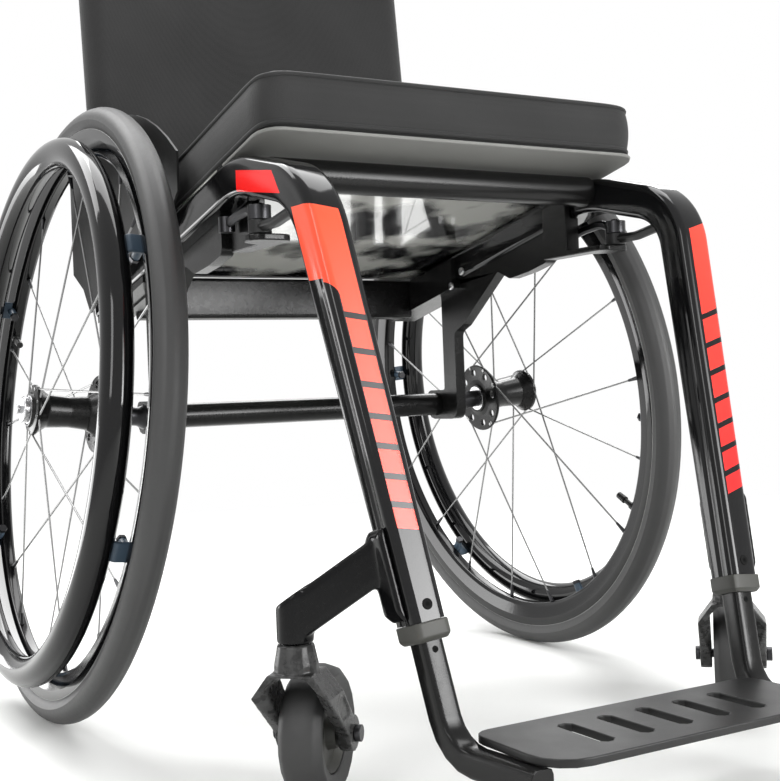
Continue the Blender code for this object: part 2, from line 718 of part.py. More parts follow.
def rail_plug(name, side):
    """Cap that closes the rear end of the seat rail."""
    back = Vector((0, cos(SEAT_DUMP), -sin(SEAT_DUMP)))
    start = Vector((RAIL_X, RAIL_REAR_Y, rail_centre(RAIL_REAR_Y))) + back * JOINT_GAP
    path = [(start, back), (start + back * 0.003, back), (start + back * 0.005, back)]
    shapes = [section(RAIL_WIDTH, RAIL_DEPTH, TUBE_CORNER)] * 2
    shapes.append(section(RAIL_WIDTH - 0.004, RAIL_DEPTH - 0.004, TUBE_CORNER - 0.001))
    return add(name, mirrored(swept(path, shapes), side), black_plastic, chair)


def tube_collar(name, side):
    """Ring below the down tube that the footrest tube passes through."""
    down = leg_direction()
    start = Vector((FOOT_X, FOOT_Y, FOOT_Z)) + down * JOINT_GAP
    path = [(start + down * reach, down) for reach in (0, COLLAR_LENGTH - 0.003, COLLAR_LENGTH)]
    wide = FOOT_WIDTH + 2 * COLLAR_MARGIN
    deep = FOOT_DEPTH + 2 * COLLAR_MARGIN
    shapes = [section(wide, deep, TUBE_CORNER + COLLAR_MARGIN)] * 2
    shapes.append(section(wide - 0.005, deep - 0.005, TUBE_CORNER))
    piece = add(name, mirrored(swept(path, shapes), side), grey_plastic, chair)
    hole = swept(on_leg((-COLLAR_LENGTH - CUT_REACH, CUT_REACH)), [footrest_shape(JOINT_GAP)] * 2)
    combine(piece, mirrored(hole, side), "DIFFERENCE", "bore")
    return piece


def footrest_bend():
    """Corner where the footrest tube turns forward, on the left side."""
    down = leg_direction()
    drop = (FOOT_Z - FOOTREST_TUBE_Z) / -down.z
    return Vector((FOOT_X, FOOT_Y, FOOT_Z)) + down * drop


def footrest_tube(name, side):
    """Square tube out of the down tube that turns forward under the footplate."""
    start = on_leg([FOOTREST_BORE_DEPTH - FOOTREST_HEADROOM])[0][0]
    corner = footrest_bend()
    front = Vector((corner.x - FOOTREST_TOE_IN, FOOTREST_FRONT_Y, FOOTREST_TUBE_Z))
    path = bent_path([(start, 0), (corner, FOOTREST_BEND_RADIUS), (front, 0)], 4)
    shapes = [footrest_shape()] * len(path)
    return add(name, mirrored(swept(path, shapes), side), satin_black, chair)


def footplate():
    """Plate on top of both footrest tubes, with a rounded outline and drain slots."""
    low = FOOTREST_TUBE_Z + FOOTREST_TUBE_WIDTH / 2 + JOINT_GAP
    wide = FOOTPLATE_HALF_WIDTH
    front = FOOTPLATE_FRONT_Y
    rear = FOOTPLATE_REAR_Y
    outline = rounded([(-wide, rear, 0.014), (-wide, front, 0.030),
                       (wide, front, 0.030), (wide, rear, 0.014)])
    middle = (rear + front) / 2
    low_y = middle - FOOTPLATE_SLOT_HALF_LENGTH
    high_y = middle + FOOTPLATE_SLOT_HALF_LENGTH
    half = FOOTPLATE_SLOT_HALF_WIDTH
    corner = half * 0.6
    slots = [rounded([(x - half, low_y, corner), (x - half, high_y, corner),
                      (x + half, high_y, corner), (x + half, low_y, corner)], 1) for x in FOOTPLATE_SLOTS]
    sheet = plate(outline, low, low + FOOTPLATE_THICKNESS, slots, normal=2)
    return add("footplate", sheet, black_plastic, chair)


def saddle_shape(reach, wall):
    """Block over the down tube's outer and rear faces, before the tube is cut out of it."""
    wide, deep = leg_size(reach)
    outer = wide / 2 + JOINT_GAP + wall
    back = deep / 2 + JOINT_GAP + wall
    wrap = -ARM_SADDLE_WRAP
    return rounded([(wrap, wrap, 0.002), (outer, wrap, 0.001), (outer, back, TUBE_CORNER + 0.003),
                    (wrap, back, 0.001)], 2)


def caster_arm(name, side):
    """Cast arm sloping from a saddle on the down tube to the upright caster housing."""
    root = on_leg([(ARM_ROOT_Z - FOOT_Z) / -leg_direction().z])[0][0]
    level = Vector((CASTER_X - root.x, CASTER_Y - root.y, 0))
    length = (level.length - ARM_START) / cos(ARM_SLOPE)
    level.normalize()
    ahead = level * cos(ARM_SLOPE) - Vector((0, 0, sin(ARM_SLOPE)))
    finish = Vector((CASTER_X, CASTER_Y, ARM_TOP_AT_STEM - ARM_DEPTH / 2 / cos(ARM_SLOPE)))
    shape = section(ARM_DEPTH, ARM_THICKNESS, 0.003)
    bar = swept([(finish - ahead * length, ahead), (finish, ahead)], [shape] * 2, Vector((0, 0, 1)))
    piece = add(name, mirrored(bar, side), cast_black, chair)
    walls = zip(ARM_SADDLE_REACH, ARM_SADDLE_WALL)
    saddle = swept(on_leg(ARM_SADDLE_REACH), [saddle_shape(reach, wall) for reach, wall in walls])
    combine(piece, mirrored(saddle, side), "UNION", "saddle")
    rings = [[], []]
    for u, v in circle(0, 0, HOUSING_RADIUS, 24):
        top = ARM_TOP_AT_STEM + HOUSING_TOP_STEP - tan(ARM_SLOPE) * (u * level.x + v * level.y)
        rings[0].append(Vector((CASTER_X + u, CASTER_Y + v, HOUSING_BOTTOM)))
        rings[1].append(Vector((CASTER_X + u, CASTER_Y + v, top)))
    combine(piece, mirrored(loft(rings), side), "UNION", "housing")
    seat = bore_radius(STEM_BEARING_RADIUS, JOINT_GAP, 20)
    stem_line = [(CASTER_X, CASTER_Y, z) for z in (HOUSING_BOTTOM - CUT_REACH, STEM_BORE_TOP)]
    hole = rod(*stem_line, seat, 20)
    combine(piece, mirrored(hole, side), "DIFFERENCE", "bore")
    tube_reach = (-CUT_REACH, ARM_SADDLE_REACH[-1] + 2 * CUT_REACH)
    tube_sizes = [leg_size(reach) for reach in tube_reach]
    grow = 2 * JOINT_GAP
    tube = swept(on_leg(tube_reach), [section(wide + grow, deep + grow, TUBE_CORNER + JOINT_GAP)
                                      for wide, deep in tube_sizes])
    combine(piece, mirrored(tube, side), "DIFFERENCE", "tube")
    return piece


for label, side in SIDES.items():
    side_frame("side_frame_" + label, side)
    rail_plug("rail_plug_" + label, side)
    axle_bracket("axle_bracket_" + label, side)
    camber_plug("camber_plug_" + label, side)
    tube_collar("tube_collar_" + label, side)
    footrest_tube("footrest_tube_" + label, side)
    caster_arm("caster_arm_" + label, side)
front_cross_tube()
rear_cross_bar()
seat_pan()
seat_cushion()
axle_tube()
footplate()


def wheel_carrier(label, side):
    """Guide at the middle of a wheel; its Z runs outward along the cambered hub axis."""
    outward = (side * cos(CAMBER), 0, sin(CAMBER))
    ahead = (0, 1, 0)
    upward = (-sin(CAMBER), 0, side * cos(CAMBER))
    return empty("wheel_axis_" + label, chair, (side * HALF_TRACK, 0, HUB_HEIGHT), (ahead, upward, outward))


def tyre(name, carrier):
    """Tyre whose facets, not their corners, lie on the tread radius."""
    grow = 1 / cos(pi / WHEEL_STEPS)
    middle = WHEEL_RADIUS - TYRE_SECTION_RADIUS
    profile = []
    steps = 6
    for index in range(steps + 1):
        angle = -TYRE_BEAD_ANGLE + 2 * TYRE_BEAD_ANGLE * index / steps
        radius = middle + TYRE_SECTION_RADIUS * cos(angle)
        profile.append((radius * grow, TYRE_SECTION_RADIUS * sin(angle)))
    flange = (middle + TYRE_SECTION_RADIUS * cos(TYRE_BEAD_ANGLE)) * grow
    bead = flange - 0.008
    profile += [(flange, TYRE_BEAD_HALF_WIDTH), (bead, TYRE_BEAD_HALF_WIDTH),
                (bead, -TYRE_BEAD_HALF_WIDTH), (flange, -TYRE_BEAD_HALF_WIDTH)]
    return add(name, turned(profile, WHEEL_STEPS, pi / WHEEL_STEPS), tyre_rubber, carrier)


def rim(name, carrier):
    """Rim section with a tyre channel, two flanges and a narrowing spoke bed."""
    grow = 1 / cos(pi / WHEEL_STEPS)
    middle = WHEEL_RADIUS - TYRE_SECTION_RADIUS
    flange = (middle + TYRE_SECTION_RADIUS * cos(TYRE_BEAD_ANGLE)) * grow - JOINT_GAP
    channel = flange - 0.008
    inner = TYRE_BEAD_HALF_WIDTH + JOINT_GAP
    outer = inner + RIM_WALL
    bed = RIM_INNER_RADIUS * grow
    half = [(flange, inner), (flange, outer), (channel - 0.001, outer - 0.0004), (bed, RIM_INNER_HALF_WIDTH)]
    profile = [(channel, inner)] + half + [(r, -w) for r, w in reversed(half)] + [(channel, -inner)]
    return add(name, turned(profile, WHEEL_STEPS, pi / WHEEL_STEPS), gloss_black, carrier)


def caster_carrier(label, side):
    """Guide at the middle of a caster wheel, trailing behind its stem; its X is the wheel's axle."""
    axle = Vector((cos(CASTER_REST_TURN), sin(CASTER_REST_TURN), 0))
    trail = Vector((-sin(CASTER_REST_TURN), cos(CASTER_REST_TURN), 0))
    place = Vector((side * CASTER_X, CASTER_Y, CASTER_RADIUS)) + trail * CASTER_TRAIL
    return empty("caster_axis_" + label, chair, place, (axle, trail, (0, 0, 1)))


def wheel_direction(angle, side):
    """Unit place in the wheel's plane, the angle measured from the top toward the back."""
    return Vector((sin(angle), side * cos(angle), 0))


def hub(name, carrier, side):
    """Hub body with two flanges, bearing seats and lightening holes, fused with its spokes."""
    inner_face = HUB_INNER_FLANGE_OFFSET - HUB_FLANGE_THICKNESS
    outer_face = HUB_OUTER_FLANGE_OFFSET + HUB_FLANGE_THICKNESS
    seat = bore_radius(BEARING_RADIUS, RUNNING_GAP, 16)
    passage = PIN_RADIUS + 0.003
    low = inner_face - HUB_FLANGE_THICKNESS
    high = outer_face + HUB_FLANGE_THICKNESS
    profile = [
        (seat, low), (HUB_END_RADIUS, low), (HUB_END_RADIUS, inner_face),
        (HUB_INNER_FLANGE_RADIUS, inner_face), (HUB_INNER_FLANGE_RADIUS, HUB_INNER_FLANGE_OFFSET),
        (HUB_BARREL_RADIUS + 0.005, HUB_INNER_FLANGE_OFFSET + 0.001),
        (HUB_BARREL_RADIUS, HUB_INNER_FLANGE_OFFSET + 0.010),
        (HUB_BARREL_RADIUS, HUB_OUTER_FLANGE_OFFSET - 0.008),
        (HUB_OUTER_FLANGE_RADIUS - 0.002, HUB_OUTER_FLANGE_OFFSET - 0.002),
        (HUB_OUTER_FLANGE_RADIUS, HUB_OUTER_FLANGE_OFFSET), (HUB_OUTER_FLANGE_RADIUS, outer_face),
        (HUB_END_RADIUS, outer_face + 0.001), (HUB_END_RADIUS, high), (seat, high),
        (seat, high - BEARING_WIDTH), (passage, high - BEARING_WIDTH),
        (passage, low + BEARING_WIDTH), (seat, low + BEARING_WIDTH),
    ]
    piece = add(name, turned(profile, 16), cast_black, carrier)
    hole_circle = (HUB_INNER_FLANGE_RADIUS + HUB_BARREL_RADIUS + 0.005) / 2
    holes = bmesh.new()
    for index in range(HUB_HOLE_COUNT):
        place = wheel_direction(HUB_HOLE_PHASE + 2 * pi * index / HUB_HOLE_COUNT, side) * hole_circle
        bar = rod(place + Vector((0, 0, inner_face - 0.004)),
                  place + Vector((0, 0, HUB_INNER_FLANGE_OFFSET + 0.004)), HUB_HOLE_RADIUS, 6)
        merge(holes, bar)
    combine(piece, holes, "DIFFERENCE", "holes")
    combine(piece, spokes(side), "UNION", "spokes")
    return piece


def merge(target, source):
    """Adds one shape's faces to another."""
    mesh = bpy.data.meshes.new("merge")
    source.to_mesh(mesh)
    source.free()
    target.from_mesh(mesh)
    bpy.data.meshes.remove(mesh)


def spokes(side):
    """Crossed spokes from both flanges to just short of the rim."""
    bm = bmesh.new()
    bed = RIM_INNER_RADIUS - JOINT_GAP
    phase = SPOKE_PHASE["left" if side > 0 else "right"]
    for index in range(SPOKE_COUNT):
        angle = phase + 2 * pi * index / SPOKE_COUNT
        outer = index % 2 == 0
        way = 1 if index % 4 < 2 else -1
        flange_radius = (HUB_OUTER_FLANGE_RADIUS if outer else HUB_INNER_FLANGE_RADIUS) - 0.0025
        flange_middle = (HUB_OUTER_FLANGE_OFFSET + HUB_FLANGE_THICKNESS / 2 if outer
                         else HUB_INNER_FLANGE_OFFSET - HUB_FLANGE_THICKNESS / 2)
        root = wheel_direction(angle - way * SPOKE_SWEEP, side) * flange_radius
        root.z = flange_middle
        seat = wheel_direction(angle, side) * bed
        seat.z = 0.002 if outer else -0.002
        ahead = (seat - root).normalized()
        path = [(root, ahead), (seat - ahead * JOINT_GAP, ahead)]
        merge(bm, swept(path, [circle(0, 0, SPOKE_RADIUS, 3)] * 2, Vector((0, 0, 1))))
    return bm


def pushrim(name, carrier, side, label):
    """Oval hand rim with flat tabs that reach the wheel rim's outer wall."""
    steps = WHEEL_STEPS
    profile = [(PUSHRIM_RADIUS + PUSHRIM_DEPTH / 2 * cos(a), PUSHRIM_OFFSET + PUSHRIM_WIDTH / 2 * sin(a))
               for a in (2 * pi * (i + 0.5) / 8 for i in range(8))]
    piece = add(name, turned(profile, steps, pi / steps), gloss_black, carrier)
    bm = bmesh.new()
    wall = TYRE_BEAD_HALF_WIDTH + 2 * JOINT_GAP + RIM_WALL
    for index in range(PUSHRIM_TABS):
        angle = TAB_PHASE[label] + 2 * pi * index / PUSHRIM_TABS
        outward = wheel_direction(angle, side)
        along = outward.cross(Vector((0, 0, 1)))
        path = [(outward * TAB_RADIUS + Vector((0, 0, z)), Vector((0, 0, 1))) for z in (wall, PUSHRIM_OFFSET)]
        merge(bm, swept(path, [section(TAB_WIDTH, TAB_THICKNESS, 0)] * 2, along))
    combine(piece, bm, "UNION", "tabs")
    return piece


def bearing(name, carrier, low):
    """Sealed ball bearing as one ring that runs on the axle pin."""
    inner = bore_radius(PIN_RADIUS, RUNNING_GAP, 16)
    high = low + BEARING_WIDTH - JOINT_GAP
    profile = [(inner, low), (BEARING_RADIUS, low), (BEARING_RADIUS, high), (inner, high)]
    return add(name, turned(profile, 16), bearing_steel, carrier)


def axle_pin(name, carrier):
    """Quick-release pin with a head outside the hub and a bore for its button."""
    head = HUB_OUTER_FLANGE_OFFSET + 2 * HUB_FLANGE_THICKNESS + JOINT_GAP
    tip = (PIN_TIP_X - HALF_TRACK) / cos(CAMBER)
    button = bore_radius(BUTTON_RADIUS, RUNNING_GAP, 16)
    top = head + PIN_HEAD_LENGTH
    floor = top - BUTTON_LENGTH
    profile = [(0, tip), (PIN_RADIUS - 0.001, tip), (PIN_RADIUS, tip + 0.0015), (PIN_RADIUS, head),
               (PIN_HEAD_RADIUS, head), (PIN_HEAD_RADIUS, top - 0.001), (PIN_HEAD_RADIUS - 0.001, top),
               (button, top), (button, floor), (0, floor)]
    return add(name, turned(profile, 16), steel, carrier)


def axle_button(name, carrier):
    """Plunger in the pin's head; pressing it frees the locking balls."""
    top = HUB_OUTER_FLANGE_OFFSET + 2 * HUB_FLANGE_THICKNESS + JOINT_GAP + PIN_HEAD_LENGTH
    low = top - BUTTON_LENGTH + BUTTON_PROUD + JOINT_GAP
    profile = [(0, low), (BUTTON_RADIUS, low), (BUTTON_RADIUS, top + BUTTON_PROUD - 0.0006),
               (BUTTON_RADIUS - 0.0006, top + BUTTON_PROUD), (0, top + BUTTON_PROUD)]
    return add(name, turned(profile, 16), steel, carrier)


def caster_fork(name, carrier):
    """Cast fork: stem, round crown, sloping shoulders and two blades with recessed sides."""
    top = HOUSING_BOTTOM - JOINT_GAP - CASTER_RADIUS
    neck = FORK_NECK_Z - CASTER_RADIUS
    inner = CASTER_WIDTH / 2 + FORK_SIDE_GAP
    outer = inner + FORK_BLADE_THICKNESS
    shoulder = FORK_SHOULDER_Z - CASTER_RADIUS
    arch = CASTER_RADIUS + FORK_ARCH_GAP
    corner = FORK_ARCH_CORNER
    front_view = [
        (-outer, 0), (-outer, shoulder), (-FORK_CROWN_RADIUS, neck), (FORK_CROWN_RADIUS, neck),
        (outer, shoulder), (outer, 0), (inner, 0), (inner, arch - corner), (inner - corner, arch),
        (-inner + corner, arch), (-inner, arch - corner), (-inner, 0),
    ]
    half = FORK_BLADE_DEPTH / 2
    bm = plate(front_view, -CASTER_TRAIL - half, -CASTER_TRAIL + half, normal=1)
    for vertex in bm.verts:
        if vertex.co.z < 0.001:
            vertex.co.y = (vertex.co.y + CASTER_TRAIL) * FORK_TIP_TAPER
    piece = add(name, bm, cast_black, carrier)
    ring = [(FORK_CROWN_RADIUS, neck - 0.002), (FORK_CROWN_RADIUS, FORK_CROWN_Z - CASTER_RADIUS),
            (HOUSING_RADIUS, top - 0.001), (HOUSING_RADIUS - 0.001, top), (0, top), (0, neck - 0.002)]
    crown = turned(ring, 16, pi / 16)
    bmesh.ops.translate(crown, verts=crown.verts, vec=(0, -CASTER_TRAIL, 0))
    combine(piece, crown, "UNION", "crown")
    stem_top = STEM_BORE_TOP - 1.5 * STEM_HEADROOM - CASTER_RADIUS
    stem = rod((0, -CASTER_TRAIL, top - 0.004), (0, -CASTER_TRAIL, stem_top), STEM_RADIUS, 12)
    combine(piece, stem, "UNION", "stem")
    bosses = bmesh.new()
    for way in (-1, 1):
        merge(bosses, rod((way * inner, 0, 0), (way * outer, 0, 0), FORK_BOSS_RADIUS, 16))
    combine(piece, bosses, "UNION", "bosses")
    combine(piece, fork_pockets(outer, shoulder), "DIFFERENCE", "pockets")
    hole = bmesh.new()
    bore = bore_radius(CASTER_BOLT_RADIUS, JOINT_GAP, 12)
    for way in (-1, 1):
        merge(hole, rod((way * (inner - 0.002), 0, 0), (way * (outer + 0.002), 0, 0), bore, 12))
    combine(piece, hole, "DIFFERENCE", "bore")
    return piece


def fork_pockets(outer, shoulder):
    """Shallow arch-topped recesses in the outer faces of both fork blades."""
    low, high = FORK_POCKET_Z
    sides = []
    for z in (low, high):
        share = z / shoulder
        half = FORK_BLADE_DEPTH / 2 * (FORK_TIP_TAPER + (1 - FORK_TIP_TAPER) * share) - FORK_POCKET_EDGE
        sides.append((-CASTER_TRAIL * share - half, -CASTER_TRAIL * share + half))
    outline = rounded([(sides[0][0], low, 0.003), (sides[0][1], low, 0.003),
                       (sides[1][1], high, 0.007), (sides[1][0], high, 0.007)], 3)
    pockets = bmesh.new()
    for way in (-1, 1):
        merge(pockets, plate(outline, way * (outer - FORK_POCKET_DEPTH), way * (outer + 0.002)))
    return pockets


def stem_bearing(name, side):
    """Bearing cartridge in the caster housing, running on the fork's stem."""
    inner = bore_radius(STEM_RADIUS, RUNNING_GAP, 20)
    low = HOUSING_BOTTOM
    high = STEM_BORE_TOP - STEM_HEADROOM
    radius = STEM_BEARING_RADIUS
    profile = [(inner, low), (radius, low), (radius, high), (inner, high)]
    return add(name, turned(profile, 20), bearing_steel, chair, (side * CASTER_X, CASTER_Y, 0))


def on_side(bm):
    """Lays a turned shape's axis along X."""
    bmesh.ops.rotate(bm, verts=bm.verts, matrix=Matrix.Rotation(pi / 2, 3, "Y"))
    return bm


def caster_hub(name, carrier):
    """Caster wheel body: hub boss, thin web and the seat of its tyre."""
    half = CASTER_WIDTH / 2
    bore = bore_radius(CASTER_BOLT_RADIUS, RUNNING_GAP, 16)
    seat = CASTER_HUB_RADIUS
    boss = CASTER_BOSS_RADIUS
    web = half - CASTER_WEB
    lip = half - 0.004
    right = [(seat, lip), (seat - 0.005, web), (boss + 0.002, web + 0.002), (boss, half), (bore, half)]
    profile = [(radius, -place) for radius, place in reversed(right)] + right
    return add(name, on_side(turned(profile, CASTER_STEPS)), grey_plastic, carrier)


def caster_tyre(name, carrier):
    """Soft caster tyre; its facets, not their corners, lie on the rolling radius."""
    grow = 1 / cos(pi / CASTER_STEPS)
    half = CASTER_WIDTH / 2
    seat = bore_radius(CASTER_HUB_RADIUS, JOINT_GAP, CASTER_STEPS)
    tread = CASTER_RADIUS * grow
    edge = [(tread, CASTER_TREAD_HALF), (tread - 0.002, half - 0.005), (tread - 0.008, half),
            (seat, half - 0.003)]
    profile = [(radius, -place) for radius, place in reversed(edge)] + edge
    return add(name, on_side(turned(profile, CASTER_STEPS, pi / CASTER_STEPS)), caster_rubber, carrier)


def caster_bolt(name, carrier):
    """Axle bolt through both fork blades, with a head and a nut outside them."""
    outer = CASTER_WIDTH / 2 + FORK_SIDE_GAP + FORK_BLADE_THICKNESS + JOINT_GAP
    head = CASTER_BOLT_HEAD_RADIUS
    low = -outer - CASTER_BOLT_HEAD
    high = outer + CASTER_BOLT_NUT
    profile = [(0, low), (head, low), (head, -outer), (CASTER_BOLT_RADIUS, -outer),
               (CASTER_BOLT_RADIUS, outer), (head, outer), (head, high), (0, high)]
    return add(name, on_side(turned(profile, 12)), steel, carrier)


def side_guard(name, side):
    """Thin panel between seat and wheel, its front following the tyre, with two fixing pads."""
    inner = GUARD_X - GUARD_THICKNESS / 2
    follow = WHEEL_RADIUS - GUARD_TYRE_MARGIN
    outline = [(GUARD_FRONT_Y, rail_top(GUARD_FRONT_Y) + GUARD_FRONT_RISE)]
    start = atan2(sqrt(follow ** 2 - GUARD_FRONT_Y ** 2), GUARD_FRONT_Y)
    finish = atan2(sqrt(follow ** 2 - GUARD_REAR_Y ** 2), GUARD_REAR_Y)
    for y, z in circle(0, HUB_HEIGHT, follow, 12, start, finish - start):
        outline.append((y, min(z, GUARD_TOP)))
    outline += list(zip(GUARD_TAIL_Y, GUARD_TAIL_Z))
    outline += [(y, rail_underside(y) + rise) for y, rise in zip(GUARD_FOOT_Y, GUARD_FOOT_RISE)]
    piece = add(name, mirrored(plate(outline, inner, inner + GUARD_THICKNESS), side), black_plastic, chair)
    pads = bmesh.new()
    face = RAIL_X + RAIL_WIDTH / 2 + JOINT_GAP
    for y in GUARD_PAD_Y:
        z = rail_centre(y) + GUARD_PAD_RISE
        merge(pads, rod((face, y, z), (GUARD_X, y, z), GUARD_PAD_RADIUS, 16))
    combine(piece, mirrored(pads, side), "UNION", "pads")
    return piece


def hinge_bracket(name, side):
    """Plate on the rail's inner face that carries the backrest's pivot and its stop."""
    outer = RAIL_X - RAIL_WIDTH / 2 - JOINT_GAP
    inner = outer - HINGE_PLATE
    low = rail_underside(HINGE_Y)
    foot_front = REAR_BAR_Y + REAR_BAR_DEPTH / 2 + HINGE_TO_BAR
    half = HINGE_HALF_WIDTH
    head = HINGE_Z + HINGE_HEAD_RISE
    neck = HINGE_Z - HINGE_NECK_DROP
    outline = rounded([
        (foot_front, low + 0.005, 0.002), (RAIL_REAR_Y - 0.001, low, 0.004),
        (RAIL_REAR_Y + 0.004, rail_top(RAIL_REAR_Y) + 0.004, 0.010),
        (HINGE_Y + half, neck, 0.020), (HINGE_Y + half, head, 0.015),
        (HINGE_Y - half, head, 0.015), (HINGE_Y - half, neck, 0.020),
        (foot_front, rail_top(foot_front) + HINGE_FOOT_RISE, 0.012),
    ], 3)
    piece = add(name, mirrored(plate(outline, inner, outer), side), cast_black, chair)
    pin = rod((inner - HINGE_PIN_INNER, HINGE_Y, HINGE_Z),
              (RAIL_X + CANE_RADIUS + HINGE_PIN_OUTER, HINGE_Y, HINGE_Z), HINGE_PIN_RADIUS, 16)
    combine(piece, mirrored(pin, side), "UNION", "pin")
    return piece


def back_axes():
    """Directions of the upright backrest: across, rearward and up along the canes."""
    up = Vector((0, sin(CANE_LEAN), cos(CANE_LEAN)))
    rearward = Vector((0, cos(CANE_LEAN), -sin(CANE_LEAN)))
    return (Vector((1, 0, 0)), rearward, up)


def backrest_cane(name, carrier, side):
    """Tube from the hinge to a domed cap, with a solid foot bored for the hinge pin."""
    path = []
    shapes = []
    profile = [(-CANE_FOOT, CANE_FOOT_RADIUS), (-CANE_FOOT + CANE_DOME, CANE_RADIUS),
               (CANE_LENGTH - CANE_DOME, CANE_RADIUS), (CANE_LENGTH, CANE_RADIUS - CANE_DOME)]
    for height, radius in profile:
        path.append((Vector((RAIL_X, 0, height)), Vector((0, 0, 1))))
        shapes.append(circle(0, 0, radius, 16))
    piece = add(name, mirrored(swept(path, shapes), side), satin_black, carrier)
    bore = bore_radius(HINGE_PIN_RADIUS, RUNNING_GAP, 16)
    hole = rod((RAIL_X - 0.03, 0, 0), (RAIL_X + 0.03, 0, 0), bore, 16)
    combine(piece, mirrored(hole, side), "DIFFERENCE", "bore")
    return piece


def rigidizer_bar(carrier):
    """Bent bar behind the cloth that ties the two canes together."""
    reach = RAIL_X
    clear = CANE_RADIUS + JOINT_GAP + RIGIDIZER_RADIUS
    z = RIGIDIZER_HEIGHT
    sleeve = reach - RIGIDIZER_SLEEVE
    middle = reach - RIGIDIZER_SLOPE_END
    back = RIGIDIZER_SET_BACK
    near, far = RIGIDIZER_BENDS
    path = bent_path([((-reach, clear, z), 0), ((-sleeve, clear, z), near), ((-middle, back, z), far),
                      ((middle, back, z), far), ((sleeve, clear, z), near), ((reach, clear, z), 0)], 2)
    shapes = [circle(0, 0, RIGIDIZER_RADIUS, 10)] * len(path)
    return add("rigidizer_bar", swept(path, shapes, Vector((0, 0, 1))), satin_black, carrier)


def back_upholstery(carrier):
    """Sling cloth: sleeves round both canes and a hollowed web between them."""
    inner = CANE_RADIUS + SOFT_GAP
    outer = inner + BACK_CLOTH_THICKNESS * 0.6
    half = 9
    front = []
    rear = []
    reach = RAIL_X - inner
    for index in range(2 * half + 1):
        share = index / half - 1
        x = share * reach
        hollow = BACK_CLOTH_SAG * (1 - share * share)
        front.append((x, -outer + 0.0025 + hollow))
        rear.append((x, -outer + 0.0025 + BACK_CLOTH_THICKNESS + hollow))
    right = circle(RAIL_X, 0, outer, 14, -0.62 * pi, 1.55 * pi)
    left = [(-x, y) for x, y in reversed(right)]
    outline = front[1:-1] + right + list(reversed(rear[1:-1])) + left
    holes = [circle(x, 0, inner, 16) for x in (-RAIL_X, RAIL_X)]
    sheet = plate(outline, BACK_CLOTH_LOW, BACK_CLOTH_HIGH, holes, normal=2)
    return add("back_upholstery", sheet, back_cloth, carrier)


def brake_mount(name, side):
    """Clamp block under the rail with a lip on its inner face, a shelf and the upright pin."""
    rail_inner = RAIL_X - RAIL_WIDTH / 2 - JOINT_GAP
    lip_inner = rail_inner - BRAKE_LIP
    shelf_top = BRAKE_SHELF_Z + BRAKE_SHELF_THICKNESS
    rings = []
    for y in BRAKE_BLOCK:
        under = rail_underside(y) - JOINT_GAP / cos(SEAT_DUMP)
        profile = [(lip_inner, BRAKE_SHELF_Z), (rail_inner + BRAKE_BLOCK_WIDTH, BRAKE_SHELF_Z),
                   (rail_inner + BRAKE_BLOCK_WIDTH, under), (rail_inner, under),
                   (rail_inner, under + BRAKE_LIP_RISE), (lip_inner, under + BRAKE_LIP_RISE)]
        rings.append([Vector((x, y, z)) for x, z in profile])
    piece = add(name, mirrored(loft(rings), side), cast_black, chair)
    rear = BRAKE_BLOCK[1] - 0.002
    front = BRAKE_Y - BRAKE_BOSS_RADIUS
    outline = rounded([(lip_inner, front, 0.009), (BRAKE_X + BRAKE_BOSS_RADIUS, front, 0.009),
                       (BRAKE_X + BRAKE_BOSS_RADIUS, BRAKE_Y + 0.014, 0.009),
                       (rail_inner + BRAKE_BLOCK_WIDTH, BRAKE_Y + 0.026, 0.006),
                       (rail_inner + BRAKE_BLOCK_WIDTH, rear, 0), (lip_inner, rear, 0)], 3)
    shelf = plate(outline, BRAKE_SHELF_Z, shelf_top, normal=2)
    combine(piece, mirrored(shelf, side), "UNION", "shelf")
    top = shelf_top + 2 * (BRAKE_LEVEL + JOINT_GAP) + 0.002
    pin = rod((BRAKE_X, BRAKE_Y, BRAKE_SHELF_Z + 0.001), (BRAKE_X, BRAKE_Y, top), BRAKE_PIN_RADIUS, 16)
    combine(piece, mirrored(pin, side), "UNION", "pin")
    return piece


def brake_boss(level):
    """The round eye of a brake piece at its level on the pin."""
    low = BRAKE_SHELF_Z + BRAKE_SHELF_THICKNESS + JOINT_GAP + level * (BRAKE_LEVEL + JOINT_GAP)
    bore = bore_radius(BRAKE_PIN_RADIUS, RUNNING_GAP, 16)
    outer = BRAKE_BOSS_RADIUS
    high = low + BRAKE_LEVEL
    return turned([(bore, low), (outer, low), (outer, high), (bore, high)], 16), low, high


def brake_lever(name, carrier):
    """Lever that reaches forward below the knee bend; it swings outward to brake."""
    boss, low, high = brake_boss(0)
    middle = (low + high) / 2
    piece = add(name, boss, black_plastic, carrier)
    start = BRAKE_BOSS_RADIUS - 0.003
    share, bend = BRAKE_LEVER_BEND
    path = bent_path([((0, -start, middle), 0), ((0, -share * BRAKE_LEVER_REACH, middle), bend),
                      ((0, -BRAKE_LEVER_REACH, middle + BRAKE_LEVER_TIP_RISE), 0)], 2)
    tip = path[-1]
    path.append((tip[0] + tip[1] * 0.002, tip[1]))
    shapes = [section(*BRAKE_LEVER_SECTION, 1)] * (len(path) - 1) + [section(*BRAKE_LEVER_TIP, 1)]
    combine(piece, swept(path, shapes), "UNION", "bar")
    return piece


